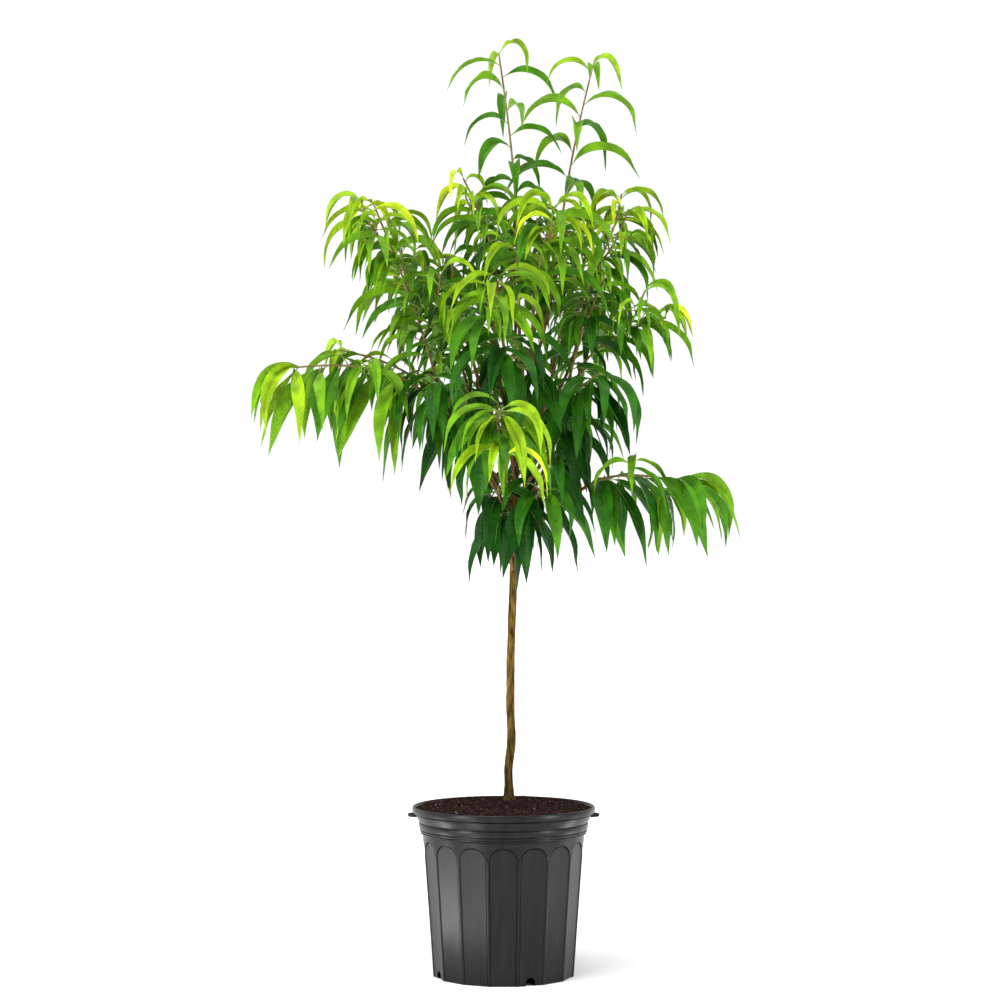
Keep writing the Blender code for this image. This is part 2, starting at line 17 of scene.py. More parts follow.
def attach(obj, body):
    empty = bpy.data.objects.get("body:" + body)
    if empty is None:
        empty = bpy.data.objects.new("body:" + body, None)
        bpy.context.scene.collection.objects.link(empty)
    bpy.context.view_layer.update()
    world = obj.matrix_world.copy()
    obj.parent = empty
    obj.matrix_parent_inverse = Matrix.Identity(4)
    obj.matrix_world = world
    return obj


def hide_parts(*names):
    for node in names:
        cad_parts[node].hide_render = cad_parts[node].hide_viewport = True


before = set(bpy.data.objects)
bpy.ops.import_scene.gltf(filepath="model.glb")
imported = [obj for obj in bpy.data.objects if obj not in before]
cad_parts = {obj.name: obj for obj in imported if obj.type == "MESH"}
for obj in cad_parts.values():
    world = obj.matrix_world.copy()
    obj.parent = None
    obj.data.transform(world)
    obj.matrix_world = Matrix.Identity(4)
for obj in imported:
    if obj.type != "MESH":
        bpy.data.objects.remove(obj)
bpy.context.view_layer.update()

# Camera: it looks along +Y at the plant from the height of its middle
CAMERA_PLACE = (-0.006, -4.4, 0.787)
CAMERA_LENS = 95.5

# Light: sky, sun, soft strips by name, place and power, and strips that lie on the floor for
# the pot's sheen, by name, bearing and power
SKY_STRENGTH = 1.02
SUN_AHEAD = (0.10, 0.15, -1.0)
SUN_STRENGTH = 3.0
SUN_SPREAD = radians(28)
STRIP_SIZE = (0.35, 1.6)
STRIPS = [("strip_left", (-1.9, -1.5, 0.7), 60), ("strip_right", (2.0, -1.2, 0.7), 45)]
FLOOR_STRIP_SIZE = (0.09, 0.85)
FLOOR_STRIP_START = 0.34
FLOOR_STRIP_LIFT = 0.002
FLOOR_STRIPS = [
    ("floor_strip_left", radians(-84), 4.4),
    ("floor_strip_front", radians(-38), 2.6),
    ("floor_strip_right", radians(98), 2.4),
]
FLOOR_HALF = 40.0
FLOOR_COLOUR = (0.80, 0.80, 0.80)

# Pot: its sizes, and its arched flutes, whose places across run from -1 to 1
POT_HEIGHT = 0.280
LIP_RADIUS = 0.1515
FOOT_RADIUS = 0.1170
BODY_TOP_RADIUS = 0.1342
BODY_TOP = 0.2335
POT_WALL = 0.0022
LIP_WALL = 0.0034
POT_FLOOR = 0.0030
FLUTES = 16
FLUTE_DEPTH = 0.0030
FLUTE_STEP = 0.0008
FLUTE_SHARE = 0.90
FLUTE_SPRING = 0.2040
FLUTE_RISE = 0.0205
FLUTE_TURN = radians(-90 + 22.2)
RIB_RISE = 0.0009
GROOVE_DEPTH = 0.0011
GROOVE_SHARE = 0.05
FLUTE_PLACES = [-1.0, -0.95, -0.90, -0.885, -0.87, -0.855, -0.84, -0.72, -0.55, -0.37, -0.18]
FLUTE_PLACES += [0.0, *(-u for u in reversed(FLUTE_PLACES[1:]))]
DRAIN_HOLES = 4
DRAIN_RADIUS = 0.0085
DRAIN_HEIGHT = 0.0050
DRAIN_REACH = 0.0120
DRAIN_SIDES = 32
LUG_SIZE = (0.016, 0.012, 0.0090)
LUG_TAPER = (0.35, 0.30)
LUG_HEIGHT = 0.2605
LUG_REACH = 0.0075
LUG_ROUNDING, LUG_ROUNDING_STEPS = 0.0028, 4
PLASTIC_GREYS = [(0.30, 0.003), (0.62, 0.006), (0.80, 0.016)]

# Rows of the pot's skin: the foot's edge, even rows up a flute, half the height over which its
# head closes, with what is left of its depth and groove, rows to the collar, the lip's edge
FOOT_EDGE = 0.0015
FLUTE_ROWS = 12
HEAD_EDGE = 0.0014
HEAD_ROWS = [(0.0, 1.0, 0.0), (0.3, 1.0, 0.8), (0.6, 0.8, 1.0), (0.8, 0.3, 0.4), (1.0, 0.0, 0.0)]
NECK_ROWS = (0.25, 0.5, 0.75)
LIP_EDGE, LIP_EASE = 0.0012, 0.0008

# The collar and lip above the body: (out from the body's top edge, height), rounded by rows
COLLAR = [
    (0.0000, 0.2335), (0.0016, 0.2346), (0.0030, 0.2356), (0.0037, 0.2366), (0.0036, 0.2374),
    (0.0022, 0.2379), (0.0022, 0.2386), (0.0042, 0.2392), (0.0048, 0.2404), (0.0046, 0.2414),
    (0.0032, 0.2420), (0.0032, 0.2428), (0.0052, 0.2436), (0.0060, 0.2460), (0.0063, 0.2500),
    (0.0060, 0.2530), (0.0042, 0.2538), (0.0042, 0.2548), (0.0068, 0.2556), (0.0076, 0.2570),
    (0.0092, 0.2610), (0.0110, 0.2650), (0.0113, 0.2672), (0.0092, 0.2680), (0.0092, 0.2692),
    (0.0160, 0.2698), (0.0170, 0.2704), (0.0173, 0.2714), (0.0173, 0.2772), (0.0171, 0.2786),
    (0.0165, 0.2796), (0.0156, 0.2800),
]

# Soil: its mound by distance from the middle, its lumps, its mesh and its gap to the pot
SOIL_EDGE = 0.2750
SOIL_TOP = 0.2890
SOIL_MOUND = [(0.030, SOIL_TOP), (0.075, SOIL_TOP - 0.0030), (0.115, SOIL_TOP - 0.0075)]
LUMP_HEIGHT, LUMP_GRAIN, LUMP_SLICE = 0.0016, 38, 3.0
LUMP_ROUGHNESS = (1.0, 2.1, 3)
SOIL_RINGS, SOIL_SIDES = 42, 120
SOIL_DEPTH = 0.020
SOIL_GAP = 0.0003
SOIL_COLOUR = (0.012, 0.006, 0.004)

# Chips of bark and grit on the soil: name, count, least and greatest length, colour. Then
# their width and height for their length, and how they lie
CHIPS = [
    ("soil_chips_dark", 2600, (0.0015, 0.0050), (0.008, 0.004, 0.003)),
    ("soil_chips_red", 2000, (0.0015, 0.0048), (0.026, 0.009, 0.006)),
    ("soil_chips_brown", 900, (0.0012, 0.0042), (0.050, 0.022, 0.013)),
    ("soil_grit", 240, (0.0010, 0.0024), (0.230, 0.180, 0.140)),
]
CHIP_SEED = 9
CHIP_WIDTH, CHIP_HEIGHT = (0.4, 0.9), (0.25, 0.6)
CHIP_CORNER = (0.7, 1.1)
CHIP_TILT = 0.7
CHIP_LIFT = 0.4
CHIPS_FROM_TRUNK, CHIPS_FROM_RIM = 0.014, 0.004
BOX_CORNERS = [(x, y, z) for x in (-1, 1) for y in (-1, 1) for z in (-1, 1)]
BOX_FACES = [(0, 1, 3, 2), (4, 6, 7, 5), (0, 4, 5, 1), (2, 3, 7, 6), (0, 2, 6, 4), (1, 5, 7, 3)]

# Trunk: its line from the soil to its fork, and its radius at heights
TRUNK_LINE = [
    (0.009, 0.0, SOIL_TOP + 0.0003), (0.009, 0.0, 0.2975), (0.0085, 0.0005, 0.3175),
    (0.008, 0.001, 0.345), (0.013, 0.002, 0.392), (0.011, 0.001, 0.450),
    (0.012, 0.0, 0.530), (0.015, -0.001, 0.621), (0.017, 0.0, 0.704),
    (0.019, 0.002, 0.787), (0.022, 0.001, 0.870), (0.027, 0.0, 0.945),
    (0.029, 0.0, 0.985),
]
TRUNK_RADII = [
    (0.289, 0.0120), (0.2975, 0.0090), (0.3175, 0.0073),
    (0.620, 0.0066), (0.720, 0.0060), (0.985, 0.0040),
]
TRUNK_SIDES = 8

# Relief of the trunk's bark: how fine its ridges, rings and swellings are, and their height
RIDGE_GRAIN, RIDGE_HEIGHT = (420, 420, 60), 0.00045
RIDGE_ROUGHNESS = (1.0, 2.2, 3)
RING_GRAIN, RING_HEIGHT = 190, 0.00018
SWELL_GRAIN, SWELL_HEIGHT = (1.5, 1.5, 24), 0.0008

# Relief of boughs and shoots, whose height is a share of their radius
SHOOT_SWELL, SHOOT_SWELL_HEIGHT = 95, 0.10
SHOOT_GRAIN, SHOOT_GRAIN_HEIGHT = 700, 0.05

# How limbs are drawn: steps for each span of their line, sides, and share of their thickness
TRUNK_DRAWN = (22, 36)
BOUGH_DRAWN = (12, 10, 0.95)
SHOOT_DRAWN = (10, 8, 0.80)
SPUR_DRAWN = (3, 6, 0.9)

# Bark from its cracks to its ridges, and the share of its colour that is left at the soil and
# grows back up to a height
TRUNK_BARK = [
    (0.32, (0.012, 0.007, 0.002)), (0.46, (0.066, 0.035, 0.005)),
    (0.58, (0.102, 0.058, 0.009)), (0.72, (0.170, 0.104, 0.028)),
]
BOUGH_BARK = [(0.3, (0.060, 0.029, 0.013)), (0.5, (0.120, 0.064, 0.028)), (0.7, (0.190, 0.120, 0.055))]
SHOOT_BARK = [(0.3, (0.120, 0.058, 0.028)), (0.5, (0.165, 0.115, 0.042)), (0.7, (0.180, 0.200, 0.055))]
DARK_FOOT, DARK_FOOT_TOP = 0.38, 0.46

# Boughs: one that bows down first runs out by a share of its reach
GAP = 0.0003
BOUGH_SIDES = 5
BOUGH_STEPS = 3
BOUGH_FOOT_RADIUS = 0.0034
BOUGH_TIP_RADIUS = 0.0026
BOUGH_RUN_OUT = 0.25

# Stems: the share of its reach over which a stem still follows its bough
STEM_STEPS = 4
STEM_FOOT_RADIUS = 0.0027
STEM_TIP_RADIUS = 0.0019
STEM_FOLLOWS = 0.4

# Twigs: the stretch of the stem they stand on, and how much their heading takes from the
# stem's own, from the side and from the light above
TWIG_STEPS = 3
TWIG_SIDES = 3
TWIG_FOOT_RADIUS = 0.0023
TWIG_TURN = radians(137.5)
TWIG_STRETCH = (0.12, 0.82)
TWIG_START = (0.35, 0.55, 0.0)
TWIG_END = (0.65, 0.75, 0.45)
TWIG_WANDER = 0.3

# Leaves: their size and how they stand along a shoot. Places are, in spaces, the first one
# and how many more the shoot has than their count
LEAF_LENGTH = 0.128
LEAF_THICKNESS = 0.0015
LEAF_ROOT = 0.0010
LEAF_SPACING = 0.0208
LEAF_PLACES = (0.8, 0.8)
LEAF_TURN = radians(144)
LEAF_LEAN = 0.55
LEAF_FREE = 0.14
YOUNG_REACH = 0.050
TUFT_LEAVES = 2
HANGING_TUFT = 3
TUFT_GAP = 0.0015
TUFT_SPACING = 0.0045

# A leaf's slope at its root and tip, in degrees: what hanging, youth and standing on the
# shoot's upper side add, and how far chance moves it
RISE, RISE_HANG, RISE_YOUNG, RISE_ABOVE, RISE_CHANCE = 50, -105, 8, 16, 14
FALL, FALL_HANG, FALL_YOUNG, FALL_CHANCE = -66, -20, -4, 14
LEAST_BEND = 15
ROLL = (20, 50)
HEADING_CHANCE = 0.2
HANG_LOST_YOUNG = 0.45

# A leaf's length by chance and by youth, and its width for its length
LENGTHS = (0.88, 1.08)
LENGTH_LOST_YOUNG = 0.12
WIDTH, WIDTH_HANG, WIDTH_YOUNG = 0.230, 0.050, -0.060

# What each further try takes off a leaf's length, its rise and its fall
TRY_LENGTH, TRY_RISE, TRY_FALL = 0.04, 6, 2

# The share of its length over which a leaf arches, before its tip runs straight
LEAF_ARCHED = 0.8

# The plain blade that is tested for room: (share of its length, share of its width)
ARCHED_BEND = radians(72)
ARCHED_BLADE = [(0.36, 1.0), (0.72, 0.66)]
HANGING_BLADE = [(0.46, 1.0)]
CLEARANCE = 0.0012
TRIES = 7

# Spurs and further leaves, each a share of the size of the first ones, and the bare masses
BARE = ("leader_left", "leader_right")
SPUR_SPACING = 0.045
SPUR_PLACES = (0.4, 0.6)
SPUR_REACH = (0.025, 0.050)
SPUR_AHEAD, SPUR_LIGHT = 0.6, 0.5
SPUR_RADIUS = 0.0012
SPUR_TIP_RADIUS = SPUR_RADIUS * 0.7
SPUR_LEAVES = 4
SPUR_LEAFY = 0.8
SPUR_LEAF = 0.78
FURTHER_SEED = 1000
FURTHER_SPACING = 0.022
FURTHER_PLACES = (0.3, 0.6)
FURTHER_LEAF = 0.94
FURTHER_CLEARANCE = 0.0004
FURTHER_TRIES = 6

# Each mass: where its bough leaves the trunk, where the stem takes over from the bough, the
# stem's tip and how the bough bows. Then its twigs with their length and first turn, how far
# its leaves hang, their size, the seed of its rule, and the light at its tips, from 0 to 1,
# which makes its sunlit leaves slimmer and is painted into its leaves' colour as light and shade
Mass = namedtuple("Mass", "name foot joint tip bow twigs reach turn hang leaf seed light")
MASS_ROWS = [
    ("leader_left", 0.975, (0.022, 0.02, 1.24), (-0.008, 0.02, 1.53), 0.03,
     0, 0, 0, 0.11, 0.94, 9, 0.66),
    ("leader_right", 0.95, (0.094, 0.03, 1.225), (0.148, 0.04, 1.508), -0.08,
     0, 0, 0, 0, 1.12, 495, 0.66),
    ("upper_left", 0.925, (-0.014, -0.03, 1.165), (-0.066, -0.056, 1.313), -0.06,
     1, 0.07, 230, 0.11, 0.95, 239, 0.80),
    ("centre_front", 0.89, (0.05, -0.07, 1.11), (0.084, -0.135, 1.261), -0.08,
     1, 0.08, 310, 0.19, 1.21, 30, 0.78),
    ("left_crown", 0.8, (-0.112, -0.01, 0.99), (-0.214, -0.001, 1.274), -0.1,
     3, 0.11, 330, 0.17, 1.07, 204, 0.74),
    ("left_inner", 0.86, (-0.06, 0.03, 1.06), (-0.147, 0.051, 1.196), -0.08,
     1, 0.08, 60, 0.21, 1, 862, 0.48),
    ("right_crown", 0.87, (0.135, 0.005, 1.095), (0.198, 0.008, 1.273), -0.1,
     3, 0.11, 340, 0.33, 0.93, 746, 0.72),
    ("right_inner", 0.825, (0.11, -0.04, 0.995), (0.166, -0.059, 1.153), -0.05,
     1, 0.07, 300, 0.36, 0.94, 564, 0.46),
    ("right_mid", 0.79, (0.118, -0.005, 0.98), (0.268, -0.027, 1.088), -0.05,
     2, 0.09, 300, 0.15, 1.06, 398, 0.64),
    ("left_arm", 0.75, (-0.118, -0.03, 0.952), (-0.351, -0.054, 1.004), 0.1,
     0, 0, 0, 0.85, 1.3, 624, 0.65),
    ("left_fork", 0.77, (-0.12, 0.01, 0.962), (-0.274, 0.021, 1.037), 0.02,
     0, 0, 0, 0.48, 0.89, 999, 0.66),
    ("right_arm", 0.7, (0.14, -0.045, 0.812), (0.305, -0.06, 0.812), 0.12,
     0, 0, 0, 0.65, 1.34, 710, 0.54),
    ("front_low", 0.81, (-0.006, -0.075, 0.93), (0.001, -0.17, 0.856), 0.3,
     1, 0.08, 0, 0.6, 1.12, 588, 0.76),
    ("front_left", 0.875, (-0.015, -0.085, 1.05), (-0.006, -0.138, 1.148), -0.08,
     2, 0.09, 180, 0.35, 1.14, 817, 0.66),
    ("core_front", 0.84, (0.032, -0.07, 0.985), (0.014, -0.113, 1.05), -0.08,
     1, 0.07, 160, 0.76, 1.2, 992, 0.18),
    ("left_skirt", 0.735, (-0.055, -0.045, 0.885), (-0.123, -0.075, 0.993), -0.08,
     2, 0.08, 300, 0.87, 1.13, 906, 0.22),
    ("right_skirt", 0.76, (0.085, -0.05, 0.9), (0.133, -0.076, 1.002), -0.08,
     2, 0.08, 0, 0.89, 1.08, 135, 0.24),
    ("low_left", 0.665, (-0.002, -0.04, 0.745), (-0.008, -0.084, 0.811), 0,
     0, 0, 0, 0.83, 1.05, 661, 0.20),
    ("low_front", 0.69, (0.028, -0.055, 0.765), (0.071, -0.103, 0.805), 0,
     0, 0, 0, 0.71, 1.25, 203, 0.24),
    ("low_right", 0.715, (0.05, -0.055, 0.785), (0.084, -0.093, 0.856), 0,
     0, 0, 0, 0.91, 1.13, 178, 0.18),
    ("low_back", 0.678, (0.02, 0.045, 0.76), (0.015, 0.11, 0.82), 0,
     1, 0.06, 30, 0.85, 1.05, 11, 0.20),
    ("back_left", 0.85, (-0.07, 0.085, 1.01), (-0.134, 0.175, 1.191), -0.08,
     2, 0.11, 130, 0.11, 1.07, 41, 0.50),
    ("back_right", 0.84, (0.09, 0.085, 1.04), (0.131, 0.17, 1.191), -0.08,
     2, 0.11, 180, 0.2, 1, 317, 0.50),
    ("back_mid", 0.905, (0.02, 0.08, 1.09), (-0.008, 0.125, 1.277), -0.08,
     2, 0.1, 0, 0.11, 1.12, 832, 0.55),
    ("back_low", 0.78, (-0.02, 0.095, 0.92), (-0.066, 0.251, 1.008), 0.04,
     1, 0.1, 60, 0.52, 1.21, 478, 0.45),
    ("back_skirt", 0.725, (0.075, 0.07, 0.85), (0.132, 0.147, 0.926), -0.05,
     1, 0.09, 30, 0.7, 1.02, 13, 0.30),
]
MASSES = [Mass(*row) for row in MASS_ROWS]
BOUGHS = ["bough_" + mass.name for mass in MASSES]
FOLIAGE = ["foliage_" + mass.name for mass in MASSES]

# Leaf shades, painted light and shade: the lightest are partly the real yellow-green of young
# leaves and partly painted sunlight, the darker ones painted shade inside the crown and low down.
# From the youngest tips to the leaves in deep shade: name, colour, roughness, and the least
# light that a leaf of that shade has
SHADES = [
    ("tip", (0.370, 0.480, 0.008), 0.55, 0.96),
    ("young", (0.190, 0.330, 0.005), 0.52, 0.78),
    ("fresh", (0.098, 0.232, 0.004), 0.50, 0.60),
    ("full", (0.041, 0.150, 0.003), 0.47, 0.43),
    ("deep", (0.014, 0.082, 0.002), 0.45, 0.27),
    ("shade", (0.004, 0.040, 0.001), 0.45, 0.0),
]
SHADE_SEED = 5
RIB_COLOUR = (0.150, 0.270, 0.030)

# A leaf's light, painted into its colour as painted light and shade: the shares of its mass's
# light that all leaves have and that the youngest at the tip have as well, then what standing
# far out and high up adds
LIGHT_ALL, LIGHT_TIP = 0.59, 0.48
LIGHT_OUT, LIGHT_HIGH, LIGHT_CHANCE = 0.13, 0.14, 0.12
TIP_REACH = 0.24
CROWN_OUT = 0.20
CROWN_LOW, CROWN_RISE = 0.75, 0.60

# A visible blade: its width at shares of its length, how its halves fold up, less so towards
# its tip, how broad it is and how its edges wave, by chance
BLADE_PROFILE = [
    (0.045, 0.03), (0.080, 0.14), (0.120, 0.31), (0.170, 0.52), (0.230, 0.73), (0.290, 0.89),
    (0.350, 0.98), (0.410, 1.00), (0.480, 0.97), (0.550, 0.89), (0.620, 0.77), (0.690, 0.63),
    (0.760, 0.47), (0.830, 0.32), (0.900, 0.18), (0.960, 0.07),
]
BLADE_ACROSS = (-1.0, -0.55, 0.0, 0.55, 1.0)
BLADE_THICKNESS = 0.00045
ARCHED_FOLD = (radians(46), radians(60))
HANGING_FOLD = (radians(12), radians(34))
HANGING_SLOPE = radians(-70)
ARCHED_WIDER = 1.12
SHADED_WIDTH, SUNLIT_WIDTH = 0.98, 0.70
ARCHED_ROLL = 0.5
FOLD_LOST = 0.3
EDGE_WAVE, EDGE_WAVE_CHANCE = 0.0009, (0.5, 1.5)
EDGE_WAVES, EDGE_WAVES_CHANCE = 2.6, (0.7, 1.3)
WAVE_BROAD = 3
STALK_RADIUS = 0.0010
RIB_SIDES = 3
RIB_RADII = [(0.0, 1.0), (0.08, 0.80), (0.5, 0.50), (0.96, 0.20)]

Leaf = namedtuple("Leaf", "root heading rise fall length width roll youth")
Limb = namedtuple("Limb", "path radii first last")


# Lines and tubes


def bezier(start, middle, end, steps):
    """Points of a quadratic curve from start to end, drawn towards middle."""
    points = []
    for i in range(steps + 1):
        t = i / steps
        points.append(start * (1 - t) ** 2 + middle * (2 * t * (1 - t)) + end * t**2)
    return points


def smooth_line(points, steps):
    """A Catmull-Rom curve through the points, with some steps for each span."""
    ends = [2 * points[0] - points[1], *points, 2 * points[-1] - points[-2]]
    line = []
    for a, b, c, d in zip(ends, ends[1:], ends[2:], ends[3:]):
        for i in range(steps):
            t = i / steps
            bend = (2 * a - 5 * b + 4 * c - d) * t**2 + (3 * b - a - 3 * c + d) * t**3
            line.append(0.5 * (2 * b + (c - a) * t + bend))
    return [*line, points[-1]]


def value_at(table, x):
    """Straight-line reading of a table of (x, value) pairs."""
    for (x0, v0), (x1, v1) in zip(table, table[1:]):
        if x <= x1:
            return v0 + (v1 - v0) * max(0.0, (x - x0) / (x1 - x0))
    return table[-1][1]


def along(path, share):
    """The point at that share of the path's length, and the path's direction there."""
    left = share * path_length(path)
    for a, b in zip(path, path[1:]):
        length = (b - a).length
        if left <= length:
            return a.lerp(b, left / length), (b - a).normalized()
        left -= length
    return path[-1].copy(), (path[-1] - path[-2]).normalized()


def path_length(path):
    return sum((b - a).length for a, b in zip(path, path[1:]))


def across(direction):
    """A level unit vector square to the direction."""
    side = Vector((-direction.y, direction.x, 0))
    return side.normalized() if side.length > 1e-3 else Vector((0, 1, 0))


def turned_round(ahead, turn):
    """A unit vector square to the direction ahead, turned round it."""
    side = across(ahead)
    return side * cos(turn) + ahead.cross(side) * sin(turn)


def around(sides):
    """Each corner of a ring with the one after it."""
    return [(k, (k + 1) % sides) for k in range(sides)]


def tapered(path, foot, tip, first=None, last=None):
    """A limb along the path whose radius runs evenly from foot to tip."""
    steps = len(path) - 1
    radii = [foot + (tip - foot) * i / steps for i in range(steps + 1)]
    first = first or (path[1] - path[0]).normalized()
    last = last or (path[-1] - path[-2]).normalized()
    return Limb(path, radii, first, last)


def tube(limb, sides, grown=0.0, relief=None):
    """(points, faces) of the limb as a closed tube, thicker by grown and by the relief."""
    path = limb.path
    points, faces = [], []
    side = None
    for i, (centre, radius) in enumerate(zip(path, limb.radii)):
        forward = (path[min(i + 1, len(path) - 1)] - path[max(i - 1, 0)]).normalized()
        forward = limb.first if i == 0 else limb.last if i == len(path) - 1 else forward
        side = across(forward) if side is None else side - forward * side.dot(forward)
        side.normalize()
        up = forward.cross(side)
        for k in range(sides):
            angle = tau * k / sides
            spoke = side * cos(angle) + up * sin(angle)
            raised = relief(centre, spoke, radius) if relief else 0.0
            points.append(centre + spoke * (radius + grown + raised))
    last = (len(path) - 1) * sides
    for row in range(0, last, sides):
        for a, b in around(sides):
            faces.append((row + a, row + b, row + b + sides, row + a + sides))
    faces.append(tuple(reversed(range(sides))))
    faces.append(tuple(range(last, last + sides)))
    return points, faces


# The plain leaf, as the part's source has it


def midrib(leaf, share):
    """The point at that share of the leaf's midrib, and its direction: an arc, then straight."""
    bend = leaf.fall - leaf.rise
    slope = leaf.rise + bend * min(share / LEAF_ARCHED, 1)
    radius = leaf.length * LEAF_ARCHED / bend
    out = radius * (sin(slope) - sin(leaf.rise))
    up = radius * (cos(leaf.rise) - cos(slope))
    ahead = Vector((cos(leaf.heading), sin(leaf.heading), 0))
    direction = ahead * cos(slope) + Vector((0, 0, sin(slope)))
    straight = leaf.length * max(0.0, share - LEAF_ARCHED)
    return leaf.root + ahead * out + Vector((0, 0, up)) + direction * straight, direction


def blade_frame(leaf, direction):
    """Unit vectors to the blade's left and out of its upper face."""
    side = Vector((-sin(leaf.heading), cos(leaf.heading), 0))
    face = direction.cross(side)
    c, s = cos(leaf.roll), sin(leaf.roll)
    return side * c + face * s, face * c - side * s


def blade(leaf, corners, start=0.0, grown=0.0):
    """(points, faces) of a closed blade from the share start to its tip, grown all round.

    The corners of its section are (across, up), in halves of its width and thickness.
    """
    stations = ARCHED_BLADE if leaf.rise - leaf.fall > ARCHED_BEND else HANGING_BLADE
    root_width = LEAF_ROOT + (leaf.width - LEAF_ROOT) * start / stations[0][0]
    sections = [(start, root_width, LEAF_ROOT)]
    sections += [(share, width * leaf.width, LEAF_THICKNESS) for share, width in stations]
    points = []
    for share, width, thickness in sections:
        centre, direction = midrib(leaf, share)
        left, face = blade_frame(leaf, direction)
        points += [
            centre + left * (width / 2 + grown) * x + face * (thickness / 2 + grown) * y
            for x, y in corners
        ]
    end, direction = midrib(leaf, 1.0)
    points.append(end + direction * grown)
    sides = len(corners)
    last = sides * len(stations)
    faces = [tuple(range(sides))]
    for row in range(0, last, sides):
        for a, b in around(sides):
            faces += [(row + b, row + a, row + b + sides), (row + b + sides, row + a, row + a + sides)]
    faces += [(last + b, last + a, last + sides) for a, b in around(sides)]
    return points, faces


def leaf_solid(leaf):
    """A thin blade with a keel under its midrib."""
    return blade(leaf, [(1, 1), (-1, 1), (0, -1)])


def leaf_room(leaf, start=0.0, clearance=CLEARANCE):
    """The space a leaf needs, from the share start to its tip."""
    return blade(leaf, [(1, 1), (-1, 1), (-1, -1), (1, -1)], start, clearance)


# The rule that the crown grows by


class Grown:
    """What has grown so far, for asking whether a new shape would touch it."""

    def __init__(self):
        self.things = []

    def add(self, owner, shape):
        self.things.append((owner, box_of(shape), BVHTree.FromPolygons(*shape)))

    def touches(self, shape, wanted):
        """Whether the shape meets anything whose owner is wanted."""
        low, high = box_of(shape)
        surface = BVHTree.FromPolygons(*shape)
        for owner, (other_low, other_high), other in self.things:
            near = all(low[i] < other_high[i] and high[i] > other_low[i] for i in range(3))
            if near and wanted(owner) and surface.overlap(other):
                return True
        return False

    def has_room(self, owner, whole, outer):
        """Whether whole is clear of all other owners, and outer of this owner's own."""
        touched = self.touches(whole, lambda other: other != owner)
        return not (touched or self.touches(outer, lambda other: other == owner))


def box_of(shape):
    xs, ys, zs = zip(*shape[0])
    return (min(xs), min(ys), min(zs)), (max(xs), max(ys), max(zs))


def trunk_limb():
    path = [Vector(point) for point in TRUNK_LINE]
    level = Vector((0, 0, 1))
    return Limb(path, [value_at(TRUNK_RADII, p.z) for p in path], level, level)


def trunk_point(height):
    path = trunk_limb().path
    for a, b in zip(path, path[1:]):
        if height <= b.z:
            return a.lerp(b, (height - a.z) / (b.z - a.z))


def bough_limb(mass):
    """From the trunk's middle to just short of the joint, bowed up or down."""
    foot, joint = trunk_point(mass.foot), Vector(mass.joint)
    reach = joint - foot
    outwards = Vector((reach.x, reach.y, 0)) * (BOUGH_RUN_OUT if mass.bow < 0 else 0.0)
    middle = foot + reach * 0.5 + outwards + Vector((0, 0, mass.bow * reach.length))
    ahead = (joint - middle).normalized()
    path = bezier(foot, middle, joint, BOUGH_STEPS)
    path[-1] = path[-1] - ahead * (GAP / 2)
    return tapered(path, BOUGH_FOOT_RADIUS, BOUGH_TIP_RADIUS, last=ahead)


def stem_limb(mass):
    """The mass's stem, which goes on as its bough ends and turns towards the tip."""
    ahead = bough_limb(mass).last
    joint, tip = Vector(mass.joint), Vector(mass.tip)
    path = bezier(joint, joint + ahead * (tip - joint).length * STEM_FOLLOWS, tip, STEM_STEPS)
    path[0] = path[0] + ahead * (GAP / 2)
    return tapered(path, STEM_FOOT_RADIUS, STEM_TIP_RADIUS, first=ahead)


def twig_limb(mass, stem, i, wander):
    """Twig i, which leaves the stem on a spiral, leans with it and turns up to the light."""
    first, last = TWIG_STRETCH
    foot, ahead = along(stem.path, first + (last - first) * (i + 0.5) / mass.twigs)
    side = across(ahead)
    turn = radians(mass.turn) + TWIG_TURN * i + wander
    out = ahead.cross(side) * cos(turn) - side * sin(turn)
    light = Vector((0, 0, 1 - mass.hang))
    start, end = [
        (ahead * with_stem + out * sideways + light * upwards).normalized() * mass.reach
        for with_stem, sideways, upwards in (TWIG_START, TWIG_END)
    ]
    path = bezier(foot, foot + start / 2, foot + end, TWIG_STEPS)
    return tapered(path, TWIG_FOOT_RADIUS, STEM_TIP_RADIUS)


def grow_twigs(mass, stem, grown):
    rng = Random(mass.seed)
    twigs = []
    for i in range(mass.twigs):
        for attempt in range(TRIES):
            wander = rng.uniform(-TWIG_WANDER, TWIG_WANDER) * (1 + attempt)
            twig = twig_limb(mass, stem, i, wander)
            outer = tapered(twig.path[1:], TWIG_FOOT_RADIUS, STEM_TIP_RADIUS)
            rooms = [tube(limb, TWIG_SIDES, CLEARANCE) for limb in (twig, outer)]
            if grown.has_room(mass.name, *rooms):
                grown.add(mass.name, tube(twig, TWIG_SIDES))
                twigs.append(twig)
                break
    return twigs


def spaced(limb, spacing, places):
    """Shares of the limb's length, evenly spaced by places that are counted in spaces."""
    count = int(path_length(limb.path) / spacing)
    first, over = places
    return [(i + first) / (count + over) for i in range(count)]


